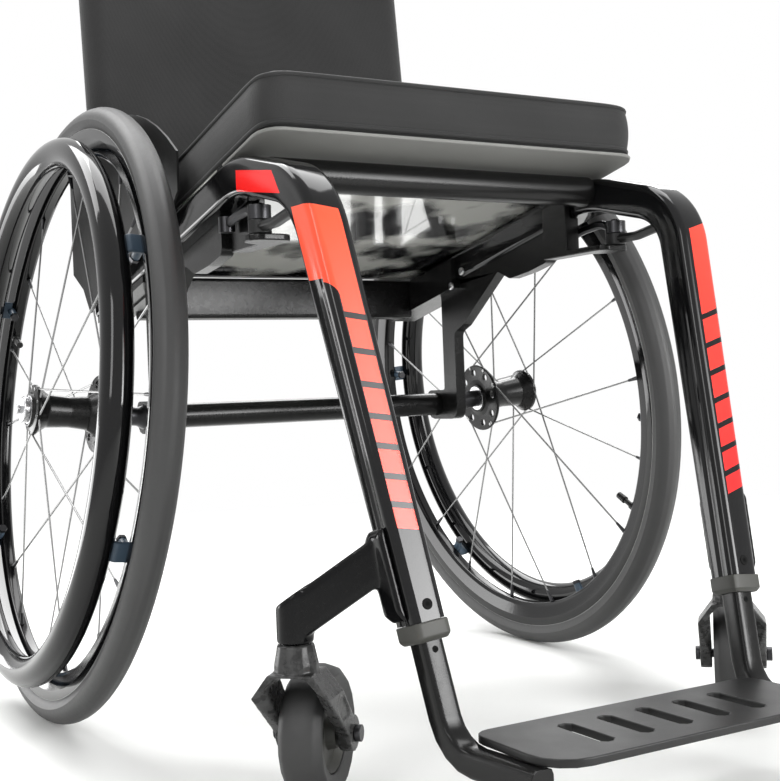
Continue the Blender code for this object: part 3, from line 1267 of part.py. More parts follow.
def brake_arm(name, carrier):
    """Arched arm with a round shoe at its rear end; it swings outward onto the tyre."""
    boss, low, high = brake_boss(1)
    piece = add(name, boss, steel, carrier)
    middle = (low + high) / 2
    reach = BRAKE_ARM_REACH
    corners = [((0, BRAKE_BOSS_RADIUS - 0.003, middle), 0)]
    corners += [((0, share * reach, middle + rise), bend) for share, rise, bend in BRAKE_ARM_ARCH]
    corners.append(((0, reach, middle - 0.001), 0))
    path = bent_path(corners, 2)
    combine(piece, swept(path, [section(*BRAKE_ARM_SECTION, 1)] * len(path)), "UNION", "bar")
    shoe = rod((0, reach, middle - 0.0075), (0, reach, middle + 0.0055), BRAKE_SHOE_RADIUS, 12)
    combine(piece, shoe, "UNION", "shoe")
    return piece


for label, side in SIDES.items():
    carrier = wheel_carrier(label, side)
    tyre("tyre_" + label, carrier)
    rim("rim_" + label, carrier)
    hub("hub_" + label, carrier, side)
    pushrim("pushrim_" + label, carrier, side, label)
    low = HUB_INNER_FLANGE_OFFSET - 2 * HUB_FLANGE_THICKNESS
    high = HUB_OUTER_FLANGE_OFFSET + 2 * HUB_FLANGE_THICKNESS - BEARING_WIDTH + JOINT_GAP
    bearing("inner_bearing_" + label, carrier, low)
    bearing("outer_bearing_" + label, carrier, high)
    axle_pin("axle_pin_" + label, carrier)
    axle_button("axle_button_" + label, carrier)
    side_guard("side_guard_" + label, side)
    stem_bearing("stem_bearing_" + label, side)
    caster_axis = caster_carrier(label, side)
    caster_fork("caster_fork_" + label, caster_axis)
    caster_hub("caster_wheel_" + label, caster_axis)
    caster_tyre("caster_tyre_" + label, caster_axis)
    caster_bolt("caster_bolt_" + label, caster_axis)
    hinge_bracket("hinge_bracket_" + label, side)
    brake_mount("brake_mount_" + label, side)
    brake_axis = empty("brake_axis_" + label, chair, (side * BRAKE_X, BRAKE_Y, 0))
    brake_lever("brake_lever_" + label, brake_axis)
    brake_arm("brake_arm_" + label, brake_axis)

back_axis = empty("back_axis", chair, (0, HINGE_Y, HINGE_Z), back_axes())
for label, side in SIDES.items():
    backrest_cane("backrest_cane_" + label, back_axis, side)
rigidizer_bar(back_axis)
back_upholstery(back_axis)
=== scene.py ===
from math import cos, pi, radians, sin, sqrt, tan

import bmesh
import bpy
from mathutils import Matrix, Vector
from mathutils.bvhtree import BVHTree


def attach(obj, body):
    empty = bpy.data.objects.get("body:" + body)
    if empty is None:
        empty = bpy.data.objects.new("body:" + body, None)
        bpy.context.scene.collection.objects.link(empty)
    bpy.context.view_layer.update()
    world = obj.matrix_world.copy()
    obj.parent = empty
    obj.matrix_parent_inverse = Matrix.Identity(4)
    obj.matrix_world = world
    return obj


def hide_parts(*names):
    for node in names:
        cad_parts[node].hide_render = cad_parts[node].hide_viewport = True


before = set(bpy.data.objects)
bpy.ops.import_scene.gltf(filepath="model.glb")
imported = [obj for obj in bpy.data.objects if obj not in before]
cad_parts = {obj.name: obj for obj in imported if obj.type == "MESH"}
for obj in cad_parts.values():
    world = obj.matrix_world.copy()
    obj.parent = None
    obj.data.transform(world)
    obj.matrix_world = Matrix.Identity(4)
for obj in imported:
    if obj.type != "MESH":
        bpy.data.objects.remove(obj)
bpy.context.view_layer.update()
print("frame loaded:", len(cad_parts), "nodes")

axleY = 0.15175  # fore-and-aft place of the rear axle
sides = {"left": 1, "right": -1}


# a node socket that can be added, multiplied and compared
class Signal:
    def __init__(self, finish, socket):
        self.finish = finish
        self.socket = socket

    def __add__(self, other):
        return self.finish.maths("ADD", self, other)

    def __radd__(self, other):
        return self.finish.maths("ADD", other, self)

    def __sub__(self, other):
        return self.finish.maths("SUBTRACT", self, other)

    def __rsub__(self, other):
        return self.finish.maths("SUBTRACT", other, self)

    def __mul__(self, other):
        return self.finish.maths("MULTIPLY", self, other)

    def __rmul__(self, other):
        return self.finish.maths("MULTIPLY", other, self)

    def __truediv__(self, other):
        return self.finish.maths("DIVIDE", self, other)

    def __gt__(self, other):
        return self.finish.maths("GREATER_THAN", self, other)

    def __lt__(self, other):
        return self.finish.maths("LESS_THAN", self, other)


class Finish:
    def __init__(self, name, colour, roughness, metallic=0.0, **sockets):
        self.data = bpy.data.materials.new(name)
        self.data.use_nodes = True
        self.tree = self.data.node_tree
        self.shader = self.tree.nodes["Principled BSDF"]
        self.plug(self.shader.inputs["Base Color"], (*colour, 1))
        self.plug(self.shader.inputs["Roughness"], roughness)
        self.plug(self.shader.inputs["Metallic"], metallic)
        for label, value in sockets.items():
            self.shader.inputs[label.replace("_", " ")].default_value = value

    def plug(self, socket, value):
        if isinstance(value, Signal):
            self.tree.links.new(value.socket, socket)
        else:
            socket.default_value = value

    def node(self, kind, settings=None, links=None, output=0):
        made = self.tree.nodes.new("ShaderNode" + kind)
        for key, value in (settings or {}).items():
            if key == "stops":
                for element, (place, shade) in zip(made.color_ramp.elements, value):
                    element.position = place
                    element.color = (shade, shade, shade, 1)
            else:
                setattr(made, key, value)
        for key, value in (links or {}).items():
            self.plug(made.inputs[key], value)
        return Signal(self, made.outputs[output])

    def maths(self, operation, first, second=0.0):
        return self.node("Math", {"operation": operation}, {0: first, 1: second})

    def coords(self):
        return self.node("TexCoord", output="Object")

    def axis(self, letter):
        return self.node("SeparateXYZ", links={0: self.coords()}, output=letter)

    def noise(self, scale, detail=4.0, roughness=0.5):
        return self.node("TexNoise", links={"Vector": self.coords(), "Scale": scale, "Detail": detail,
                                            "Roughness": roughness})

    def rise(self, value, low, high):  # 0 up to low, 1 from high
        return self.node("ValToRGB", {"stops": ((low, 0.0), (high, 1.0))}, {0: value})

    def between(self, value, low, high):  # 1 where low < value < high
        return (value > low) * (value < high)

    def held(self, value):  # kept between 0 and 1
        return self.maths("MINIMUM", 1.0, self.maths("MAXIMUM", 0.0, value))

    def blend(self, factor, first, second):  # from the first colour to the second
        colours = [(*value, 1) if isinstance(value, tuple) else value for value in (first, second)]
        return self.node("Mix", {"data_type": "RGBA"}, {0: factor, 6: colours[0], 7: colours[1]}, 2)

    def bump(self, height, strength, distance):
        before = self.shader.inputs["Normal"]
        links = {"Height": height, "Strength": strength, "Distance": distance}
        if before.is_linked:
            links["Normal"] = Signal(self, before.links[0].from_socket)
        self.plug(before, self.node("Bump", links=links))

    def set(self, label, value):
        self.plug(self.shader.inputs[label], value)


lacquer = {
    "dustScale": 420, "dustFrom": 0.55, "dustFull": 0.80, "dustShare": 0.02, "dustColour": (0.20, 0.20, 0.19),
    "cloudScale": 9, "cloudRoughness": 0.08, "decalBlack": (0.0035, 0.0035, 0.0038), "decalRoughness": 0.06,
}


def dusted(made, black):  # the black with grey dust in it
    dust = made.rise(made.noise(lacquer["dustScale"], 3), lacquer["dustFrom"], lacquer["dustFull"])
    return made.blend(dust * lacquer["dustShare"], black, lacquer["dustColour"])


def paintedTube(name, base=0.0035, roughness=0.06, gloss=0.28):  # gloss black lacquer
    made = Finish(name, (base, base, base * 1.1), roughness, Specular_IOR_Level=gloss)
    made.set("Base Color", dusted(made, (base, base, base * 1.1)))
    made.set("Roughness", roughness + made.noise(lacquer["cloudScale"], 3) * lacquer["cloudRoughness"])
    made.bump(made.noise(scale=160, detail=2), strength=0.05, distance=0.0004)
    return made


def castMetal(name, base, roughness, mottle=0.0):  # blasted casting under satin black
    made = Finish(name, (base, base, base), roughness, Specular_IOR_Level=0.20)
    grain = made.noise(scale=900, detail=3, roughness=0.6)
    patches = made.rise(made.noise(scale=130, detail=3, roughness=0.6), 0.38, 0.66)
    made.set("Roughness", roughness + patches * (0.03 + mottle * 0.03))
    made.set("Base Color", made.blend(grain * 0.3 + patches * 0.6, (base, base, base * 0.98),
                                      (base * (1.3 + mottle),) * 3))
    made.bump(grain, strength=0.12, distance=0.0003)
    if mottle:
        made.bump(patches, strength=0.10, distance=0.0006)
    return made


def mouldedPlastic(name, colour, roughness):
    made = Finish(name, colour, roughness, Specular_IOR_Level=0.28)
    lighter = tuple(min(1.0, v * 1.5 + 0.006) for v in colour)
    made.set("Base Color", made.blend(made.noise(scale=60) * 0.5, colour, lighter))
    made.set("Roughness", roughness + made.noise(scale=40, detail=3) * 0.14)
    made.bump(made.noise(scale=1400, detail=2, roughness=0.6), strength=0.22, distance=0.0002)
    return made


def brushedMetal(name, colour, roughness):
    made = Finish(name, colour, roughness, metallic=1.0)
    grain = made.noise(scale=1100, detail=3, roughness=0.6)
    made.set("Base Color", made.blend(grain, colour, tuple(v * 0.72 for v in colour)))
    made.set("Roughness", roughness + grain * 0.14)
    made.bump(grain, strength=0.06, distance=0.0002)
    return made


wheelBlack = paintedTube("wheelBlack", base=0.003, roughness=0.045, gloss=0.30)
armBlack = paintedTube("armBlack", base=0.003, roughness=0.07, gloss=0.15)
satinBlack = castMetal("satinBlack", base=0.005, roughness=0.20)
castBlack = castMetal("castBlack", base=0.005, roughness=0.24)
forkMetal = castMetal("forkMetal", base=0.012, roughness=0.22, mottle=4.0)
bluePlastic = mouldedPlastic("bluePlastic", (0.040, 0.062, 0.088), roughness=0.30)
greyPlastic = mouldedPlastic("greyPlastic", (0.036, 0.036, 0.032), roughness=0.40)
blackPlastic = mouldedPlastic("blackPlastic", (0.007, 0.007, 0.007), roughness=0.34)
screwBlack = mouldedPlastic("screwBlack", (0.003, 0.003, 0.003), roughness=0.60)
screwBlack.set("Specular IOR Level", 0.08)
brightSteel = brushedMetal("brightSteel", (0.62, 0.62, 0.63), roughness=0.20)
spokeSteel = brushedMetal("spokeSteel", (0.30, 0.30, 0.30), roughness=0.32)
darkSteel = brushedMetal("darkSteel", (0.055, 0.055, 0.058), roughness=0.28)
beadMetal = brushedMetal("beadMetal", (0.40, 0.40, 0.39), roughness=0.24)

laminate = {
    "twill": 2200, "dark": (0.006, 0.006, 0.007), "light": (0.016, 0.016, 0.017),
    # the two light greys below are painted reflections of the floor on the underside, not the laminate's
    # colour
    "paintedReflection": (0.40, 0.40, 0.375), "lip": (0.125, 0.125, 0.117),
    "lipEnd": -0.252, "paintedReflectionStart": -0.24,  # fore and aft from the axle
}


def seatSheet():  # gloss laminate with a faint twill under the coat; its colour also carries painted reflections of the floor
    made = Finish("seatSheet", laminate["dark"], roughness=0.06, Coat_Weight=1.0, Coat_Roughness=0.03,
                  IOR=1.6, Specular_IOR_Level=0.7)
    across = made.axis("X") * laminate["twill"]
    along = made.axis("Y") * laminate["twill"]
    weave = made.maths("SINE", across + along) * made.maths("SINE", across - along)
    fore = made.axis("Y") - axleY
    lip = fore < laminate["lipEnd"]  # matt, uncoated strip ahead of the cross tube, its grey a painted reflection of the floor
    # painted reflection: light patches of the floor's reflection laid into the colour behind the front strip
    paintedReflection = made.rise(made.noise(scale=11, detail=3), 0.47, 0.58) * (fore > laminate["paintedReflectionStart"])
    dark = made.blend(weave * 0.5 + 0.5, laminate["dark"], laminate["light"])
    made.set("Base Color", made.blend(lip, made.blend(paintedReflection, dark, laminate["paintedReflection"]), laminate["lip"]))
    made.set("Roughness", made.noise(scale=14, detail=3) * 0.10 + 0.05 + lip * 0.6)
    made.set("Coat Weight", 1 - lip)
    made.bump(made.noise(scale=9, detail=2, roughness=0.45), strength=0.60, distance=0.005)
    made.bump(weave, strength=0.04, distance=0.0001)
    return made


def rubber(name, grey, roughness):
    made = Finish(name, (grey, grey, grey * 0.97), roughness)
    cloud = made.noise(scale=26, detail=5, roughness=0.6)
    made.set("Base Color", made.blend(cloud, (grey * 0.8,) * 3, (grey * 1.25,) * 3))
    made.set("Roughness", roughness + made.noise(scale=300, detail=2) * 0.12)
    made.bump(made.noise(scale=1500, detail=2, roughness=0.7), strength=0.18, distance=0.0002)
    return made


tyreRubber = rubber("tyreRubber", grey=0.027, roughness=0.46)
casterRubber = rubber("casterRubber", grey=0.018, roughness=0.50)


def cloth(name, base, scale, lift, sheen):  # close knit: little raised loops in offset rows
    made = Finish(name, (base, base, base), roughness=0.86, Sheen_Weight=sheen, Sheen_Roughness=0.5)
    cells = made.node("TexVoronoi", {"feature": "F1"}, {"Vector": made.coords(), "Scale": scale,
                                                       "Randomness": 0.35})
    loops = 1 - cells * 1.6
    wear = made.noise(scale=12)
    made.set("Base Color", made.blend(loops * (0.45 + wear * 0.4), (base * 0.7,) * 3, (base * 1.45,) * 3))
    made.set("Roughness", 0.74 + wear * 0.2)
    made.bump(loops, strength=0.35, distance=lift)
    made.bump(made.noise(scale=45, detail=3), strength=0.12, distance=0.002)
    return made


cushionCover = cloth("cushionCover", base=0.0095, scale=1250, lift=0.0003, sheen=0.10)
piping = cloth("piping", base=0.009, scale=1700, lift=0.0002, sheen=0.06)
backCover = cloth("backCover", base=0.0095, scale=850, lift=0.0005, sheen=0.10)
webbing = cloth("webbing", base=0.009, scale=1500, lift=0.0003, sheen=0.08)
print("finishes made")


weld = {"piece": 0.000005, "cad": 0.00002, "pole": 0.000002}  # how near two vertices are joined
edgeWork = {"flat": radians(0.8), "hard": radians(32), "segments": 3}


def meshOf(name, bm):
    mesh = bpy.data.meshes.new(name)
    bm.to_mesh(mesh)
    bm.free()
    return mesh


def placed(name, data):  # a new object in the scene
    thing = bpy.data.objects.new(name, data)
    bpy.context.scene.collection.objects.link(thing)
    return thing


def applied(model):  # the model's mesh with its modifiers worked in
    return bpy.data.meshes.new_from_object(model.evaluated_get(bpy.context.evaluated_depsgraph_get()))


def worked(model, kind, **settings):  # adds a modifier
    added = model.modifiers.new(kind.lower(), kind)
    for key, value in settings.items():
        setattr(added, key, value)
    return added


def makePiece(name, bm, finishes, body, stands=(), smooth=35, weighted=False):
    bmesh.ops.remove_doubles(bm, verts=bm.verts, dist=weld["piece"])
    bmesh.ops.recalc_face_normals(bm, faces=bm.faces)
    mesh = meshOf(name, bm)
    mesh.shade_smooth()
    mesh.set_sharp_from_angle(angle=radians(smooth))
    piece = placed(name, mesh)
    for one in finishes if isinstance(finishes, list) else [finishes]:
        mesh.materials.append(one.data)
    if weighted:
        worked(piece, "WEIGHTED_NORMAL", keep_sharp=True)
    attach(piece, body)
    if stands:
        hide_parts(*stands)
    return piece


def cadForm(node):  # a copy of a CAD node's mesh with its triangles joined
    bm = bmesh.new()
    bm.from_mesh(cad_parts[node].data)
    bmesh.ops.remove_doubles(bm, verts=bm.verts, dist=weld["cad"])
    return bm


def refined(node, width, finish, body, slotName, name):  # a CAD form with worked edges
    bm = cadForm(node)
    bmesh.ops.dissolve_limit(bm, angle_limit=edgeWork["flat"], verts=bm.verts, edges=bm.edges)
    if width:
        hard = [edge for edge in bm.edges if edge.is_manifold and edge.calc_face_angle(0) > edgeWork["hard"]]
        bmesh.ops.bevel(bm, geom=hard, offset=width, segments=edgeWork["segments"], affect="EDGES",
                        profile=0.5, material=-1, clamp_overlap=True)
    return makePiece(name, bm, finish, body, [node], weighted=True)


def castForm(node, size, finish, body, slotName, name):  # a CAD form with the soft edges of a casting
    piece = makePiece(name, cadForm(node), finish, body, [node], smooth=75)
    worked(piece, "REMESH", mode="VOXEL", voxel_size=size[0])
    worked(piece, "SMOOTH", factor=0.5, iterations=size[1])
    shaped = applied(piece)
    piece.modifiers.clear()
    piece.data = shaped
    shaped.shade_smooth()


def dress(rows, label=""):  # node, edge width or a casting's (cell, passes), finish, body, slot, name
    for node, size, finish, body, slotName, name in rows:
        make = castForm if isinstance(size, tuple) else refined
        rider = body + label if body.endswith("_") else body
        make(node + label, size, finish, rider, slotName, name + label)


def roundedOutline(corners, segments):  # (u, v, radius) corners as a closed run of points
    points = []
    for index, (u, v, radius) in enumerate(corners):
        here = Vector((u, v))
        before = (Vector(corners[index - 1][:2]) - here).normalized()
        after = (Vector(corners[(index + 1) % len(corners)][:2]) - here).normalized()
        if radius == 0:
            points.append(here)
            continue
        half = before.angle(after) / 2
        centre = here + (before + after).normalized() * radius / sin(half)
        start = here + before * radius / tan(half) - centre
        end = here + after * radius / tan(half) - centre
        turn = start.angle_signed(end)
        for step in range(segments + 1):
            arm = start.copy()
            arm.rotate(Matrix.Rotation(-turn * step / segments, 2))
            points.append(centre + arm)
    return points


def grown(bm, edges):  # extrudes a run of edges and gives the fresh vertices and edges
    made = bmesh.ops.extrude_edge_only(bm, edges=edges)["geom"]
    fresh = [item for item in made if isinstance(item, bmesh.types.BMVert)]
    return fresh, [item for item in made if isinstance(item, bmesh.types.BMEdge)
                   and item.verts[0] in fresh and item.verts[1] in fresh]


def bentPath(corners, segments):  # (point, bend radius) corners as points and directions
    path = []
    points = [Vector(point) for point, _ in corners]
    for index, (_, radius) in enumerate(corners):
        here = points[index]
        if index == 0:
            path.append((here, (points[1] - here).normalized()))
            continue
        arriving = (here - points[index - 1]).normalized()
        if index == len(corners) - 1:
            path.append((here, arriving))
            continue
        leaving = (points[index + 1] - here).normalized()
        turn = arriving.angle(leaving)
        axis = arriving.cross(leaving).normalized()
        start = here - arriving * radius * tan(turn / 2)
        centre = start + axis.cross(arriving) * radius
        for step in range(segments + 1):
            spin = Matrix.Rotation(turn * step / segments, 3, axis)
            path.append((centre + spin @ (start - centre), spin @ arriving))
    return path


def sweep(bm, path, outlines, across=Vector((1, 0, 0))):  # pulls a ring of edges along a path
    ring = []
    for index, ((point, ahead), outline) in enumerate(zip(path, outlines)):
        wide = (across - ahead * across.dot(ahead)).normalized()
        deep = ahead.cross(wide)
        spots = [point + wide * u + deep * v for u, v in outline]
        if index == 0:
            ring = [bm.verts.new(spot) for spot in spots]
            edges = [bm.edges.new(pair) for pair in zip(ring, ring[1:] + ring[:1])]
            first = list(edges)
            continue
        fresh, edges = grown(bm, edges)
        for vertex in fresh:  # numbered as the vertex it grew from
            old = next(edge.other_vert(vertex) for edge in vertex.link_edges
                       if edge.other_vert(vertex) in ring)
            vertex.index = ring.index(old)
        ring = sorted(fresh, key=lambda vertex: vertex.index)
        for vertex, spot in zip(ring, spots):
            vertex.co = spot
    bmesh.ops.contextual_create(bm, geom=first)
    bmesh.ops.contextual_create(bm, geom=edges)


def bar(bm, start, end, radius, steps, endRadius=None):  # a round bar between two points
    reach = end - start
    turn = reach.to_track_quat("Z", "Y").to_matrix().to_4x4()
    bmesh.ops.create_cone(bm, cap_ends=True, segments=steps, radius1=radius,
                          radius2=radius if endRadius is None else endRadius,
                          depth=reach.length, matrix=Matrix.Translation(start + reach / 2) @ turn)


def revolved(outline, steps, place):  # spins a closed outline of (radius, height) round Z
    bm = bmesh.new()
    corners = [bm.verts.new((radius, 0, height)) for radius, height in outline]
    edges = [bm.edges.new(pair) for pair in zip(corners, corners[1:] + corners[:1])]
    bmesh.ops.spin(bm, geom=corners + edges, axis=(0, 0, 1), cent=(0, 0, 0), angle=2 * pi,
                   steps=steps, use_merge=True)
    bmesh.ops.remove_doubles(bm, verts=bm.verts, dist=weld["pole"])
    bmesh.ops.transform(bm, verts=bm.verts, matrix=place)
    return bm


def joined(target, source):
    mesh = meshOf("part", source)
    target.from_mesh(mesh)
    bpy.data.meshes.remove(mesh)


def cutThrough(piece, cutters):  # takes the cutters' shape out of a piece's mesh
    bmesh.ops.recalc_face_normals(cutters, faces=cutters.faces)
    tool = placed("cutters", meshOf("cutters", cutters))
    worked(piece, "BOOLEAN", operation="DIFFERENCE", solver="EXACT", object=tool)
    shaped = applied(piece)
    piece.modifiers.clear()
    piece.data = shaped
    bpy.data.objects.remove(tool)
    shaped.shade_smooth()
    shaped.set_sharp_from_angle(angle=radians(35))


screwHead = {
    "steps": 24, "rings": ((0.55, 1.0), (0.85, 0.93), (1.0, 0.76)),  # shares of the height and the radius
    "socket": 0.48, "socketDepth": 0.7,
}


def socketScrew(bm, point, direction, radius, height):  # button head with a six-sided socket
    place = Matrix.Translation(Vector(point)) @ Vector(direction).to_track_quat("Z", "Y").to_matrix().to_4x4()
    head = bmesh.new()
    base = bmesh.ops.create_circle(head, cap_ends=False, segments=screwHead["steps"], radius=radius)["verts"]
    ring = list({edge for vertex in base for edge in vertex.link_edges})
    for rise, share in screwHead["rings"]:
        fresh, ring = grown(head, ring)
        for vertex in fresh:
            flat = Vector((vertex.co.x, vertex.co.y, 0)).normalized() * radius * share
            vertex.co = Vector((flat.x, flat.y, height * rise))
    socket = bmesh.ops.create_circle(head, cap_ends=False, segments=6, radius=radius * screwHead["socket"],
                                     matrix=Matrix.Translation((0, 0, height)))["verts"]
    rim = list({edge for vertex in socket for edge in vertex.link_edges})
    bmesh.ops.bridge_loops(head, edges=ring + rim)
    fresh, floor = grown(head, rim)
    bmesh.ops.translate(head, verts=fresh, vec=(0, 0, -height * screwHead["socketDepth"]))
    bmesh.ops.contextual_create(head, geom=floor)
    bmesh.ops.holes_fill(head, edges=head.edges, sides=screwHead["steps"])
    bmesh.ops.transform(head, verts=head.verts, matrix=place)
    joined(bm, head)


wheel = {
    "camber": radians(6), "halfTrack": 0.258, "radius": 0.2965, "section": 0.014, "steps": 160,
    "tyreSteps": 48, "pushrimSteps": 36,
    "rimBed": 0.249, "rimFlange": 0.2747, "rimHalf": 0.0115, "bedHalf": 0.0055, "bareEdge": 0.0022,
    "tabPhase": {"left": radians(23), "right": radians(3)}, "tabs": 6,
    "pushrimRadius": 0.2478, "pushrimOffset": 0.0323, "pushrimWidth": 0.0275, "pushrimDepth": 0.0285,
    "groove": (radians(20), radians(29), -0.0005), "rib": (radians(84), radians(93), 0.00035),
}
hubHeight = wheel["radius"] * cos(wheel["camber"])


def wheelPlace(side):
    down = sin(wheel["camber"])
    out = side * cos(wheel["camber"])
    turn = Matrix(((0, 1, 0), (-down, 0, out), (out, 0, down))).transposed()
    return Matrix.Translation((side * wheel["halfTrack"], axleY, hubHeight)) @ turn.to_4x4()


def wheelSpot(angle, side, radius, offset=0.0):  # angle from the top toward the back
    return Vector((sin(angle) * radius, side * cos(angle) * radius, offset))


def fitted(label, place, slotName, *rows):  # new pieces turned into the wheel's place
    for name, bm, finish in rows:
        bmesh.ops.transform(bm, verts=bm.verts, matrix=place)
        makePiece(name + label, bm, finish, "wheel_" + label)


def tyre(label, place):
    middle = wheel["radius"] - wheel["section"]
    outline = []
    for step in range(wheel["tyreSteps"]):
        angle = 2 * pi * step / wheel["tyreSteps"]
        turn = abs((angle + pi) % (2 * pi) - pi)
        grow = wheel["section"]
        for start, end, lift in (wheel["groove"], wheel["rib"]):  # moulded beside the tread, on the side
            if start < turn < end:
                grow += lift
        outline.append((middle + grow * cos(angle), grow * sin(angle)))
    bm = revolved(outline, wheel["steps"], place)
    makePiece("tyreCover_" + label, bm, tyreRubber, "wheel_" + label, ["tyre_" + label], 25)


def rim(label, place):
    flange = wheel["rimFlange"]
    half = wheel["rimHalf"]
    bed = wheel["rimBed"]
    # radius, half width, rounding
    corners = [(flange - 0.0076, 0, 0.0), (flange - 0.0076, half - 0.0016, 0.0),
               (flange, half - 0.0016, 0.0006), (flange, half, 0.0006),
               (flange - 0.009, half - 0.0004, 0.002),
               (bed + 0.004, wheel["bedHalf"] + 0.002, 0.004), (bed, wheel["bedHalf"] - 0.001, 0.003)]
    corners += [(r, -w, c) for r, w, c in reversed(corners[1:])]
    outline = [tuple(p) for p in roundedOutline(corners, 4)]
    bm = revolved(outline, wheel["steps"], place)
    back = place.inverted()
    for face in bm.faces:
        spot = back @ face.calc_center_median()
        reach = sqrt(spot.x ** 2 + spot.y ** 2)
        face.material_index = 1 if reach > flange - wheel["bareEdge"] else 0
    makePiece("rimHoop_" + label, bm, [wheelBlack, beadMetal], "wheel_" + label,
              ["rim_" + label], 30)


def pushrim(label, place):
    half = (wheel["pushrimDepth"] / 2, wheel["pushrimWidth"] / 2)
    outline = []
    for step in range(wheel["pushrimSteps"]):
        angle = 2 * pi * step / wheel["pushrimSteps"]
        outline.append((wheel["pushrimRadius"] + half[0] * cos(angle),
                        wheel["pushrimOffset"] + half[1] * sin(angle)))
    bm = revolved(outline, wheel["steps"], place)
    makePiece("handRim_" + label, bm, wheelBlack, "wheel_" + label, ["pushrim_" + label])


strap = {
    "width": 0.019, "thickness": 0.0042, "corner": 0.0018, "bend": 0.004, "inset": 0.0065, "reach": 0.002,
    "foot": 0.0085, "knee": 0.0180, "end": 0.0255, "bossHeight": 0.008, "bossInset": 0.0005,
    "boss": (0.005, -0.0105, 0.0047, 20, 0.0038), "screw": (-0.0100, -0.0135, 0.0050, 6, 0.0046),
}


def pushrimMounts(label, side, place):  # strap, boss and screw at each place where the hand rim is held
    straps = bmesh.new()
    screws = bmesh.new()
    u = strap["width"] / 2
    v = strap["thickness"] / 2
    outline = roundedOutline([(x, y, strap["corner"]) for x, y in ((-u, -v), (u, -v), (u, v), (-u, v))], 3)
    rise = Vector((0, 0, strap["bossHeight"]))
    for index in range(wheel["tabs"]):
        outward = wheelSpot(wheel["tabPhase"][label] + 2 * pi * index / wheel["tabs"], side, 1.0)
        inner = outward * (wheel["rimBed"] + strap["inset"])
        outer = outward * (wheel["pushrimRadius"] + strap["reach"])
        path = bentPath([(inner + Vector((0, 0, strap["foot"])), 0),
                         (inner + Vector((0, 0, strap["knee"])), strap["bend"]),
                         (outer + Vector((0, 0, strap["end"])), 0)], 5)
        sweep(straps, path, [outline] * len(path), outward.cross(Vector((0, 0, 1))))
        foot = outward * (wheel["rimBed"] - strap["bossInset"])
        for bm, (start, end, radius, steps, endRadius) in ((straps, strap["boss"]), (screws, strap["screw"])):
            bar(bm, foot + outward * start + rise, foot + outward * end + rise, radius, steps, endRadius)
    fitted(label, place, "gloss_black", ("handRimStraps_", straps, bluePlastic),
           ("handRimScrews_", screws, darkSteel))


hubForm = {
    "inner": -0.028, "outer": 0.032, "thick": 0.0035, "steps": 64,
    "holes": 8, "holePhase": radians(7), "holeCircle": 0.0295, "holeRadius": 0.0043,
}


def hub(label, side, place):
    inner = hubForm["inner"]
    outer = hubForm["outer"]
    thick = hubForm["thick"]
    corners = [(0.0145, -0.035, 0.0004), (0.0165, -0.035, 0.0008), (0.0165, inner - thick - 0.001, 0.0008),
               (0.0215, inner - thick, 0.001), (0.0385, inner - thick, 0.0012), (0.0385, inner, 0.0012),
               (0.0225, inner, 0.002), (0.0165, inner + 0.010, 0.006), (0.0150, 0.000, 0.020),
               (0.0165, outer - 0.010, 0.006), (0.0225, outer - 0.002, 0.001), (0.0245, outer, 0.0008),
               (0.0245, outer + thick, 0.0010), (0.0170, outer + thick + 0.001, 0.001),
               (0.0165, outer + 2 * thick, 0.001), (0.0145, outer + 2 * thick, 0.0003), (0.0145, 0.0, 0.0)]
    bm = revolved([tuple(p) for p in roundedOutline(corners, 4)], hubForm["steps"], place)
    piece = makePiece("hubBody_" + label, bm, castBlack, "wheel_" + label, ["hub_" + label])
    cutters = bmesh.new()
    for index in range(hubForm["holes"]):
        angle = hubForm["holePhase"] + 2 * pi * index / hubForm["holes"]
        spot = wheelSpot(angle, side, hubForm["holeCircle"])
        bar(cutters, spot + Vector((0, 0, inner - thick - 0.003)), spot + Vector((0, 0, inner + 0.003)),
            hubForm["holeRadius"], 20)
    bmesh.ops.transform(cutters, verts=cutters.verts, matrix=place)
    cutThrough(piece, cutters)


lacing = {
    "spokes": 18, "sweep": radians(62), "phase": {"left": radians(13), "right": radians(-7)},
    "outerRoot": (0.0220, 0.0338), "innerRoot": (0.0360, -0.0298), "stagger": 0.002, "wire": 0.00095,
    "wireGap": 0.004, "head": 0.0017, "headFoot": 0.0026, "headTop": 0.0022,
    "nippleFrom": 0.0135, "nippleTo": 0.0005, "nipple": 0.0014, "nippleFoot": 0.0024,
}


def spokeSet(label, side, place):
    wires = bmesh.new()
    nipples = bmesh.new()
    for index in range(lacing["spokes"]):
        angle = lacing["phase"][label] + 2 * pi * index / lacing["spokes"]
        outer = index % 2 == 0
        way = 1 if index % 4 < 2 else -1
        root = wheelSpot(angle - way * lacing["sweep"], side, *lacing["outerRoot" if outer else "innerRoot"])
        seat = wheelSpot(angle, side, wheel["rimBed"], lacing["stagger"] if outer else -lacing["stagger"])
        ahead = (seat - root).normalized()
        bar(wires, root, seat - ahead * lacing["wireGap"], lacing["wire"], 8)
        bar(wires, root - Vector((0, 0, lacing["headFoot"] * way)),
            root + Vector((0, 0, lacing["headTop"] * way)), lacing["head"], 10)
        bar(nipples, seat - ahead * lacing["nippleFrom"], seat - ahead * lacing["nippleTo"],
            lacing["nipple"], 12, lacing["nippleFoot"])
    fitted(label, place, "steel", ("spokeWires_", wires, spokeSteel), ("spokeNipples_", nipples, darkSteel))


valveForm = {
    "turn": {"left": radians(-119.7), "right": radians(70)},
    "stages": ((0.2495, 0.2440, 0.0042, 0.0038), (0.2440, 0.2300, 0.0026, 0.0026),
               (0.2340, 0.2235, 0.0039, 0.0034)),  # from, to, and the radius at each
}


def valve(label, side, place):
    turn = valveForm["turn"][label]
    bm = bmesh.new()
    for near, far, first, second in valveForm["stages"]:
        bar(bm, wheelSpot(turn, side, near), wheelSpot(turn, side, far), first, 20, second)
    fitted(label, place, "black_plastic", ("valveStem_", bm, blackPlastic))


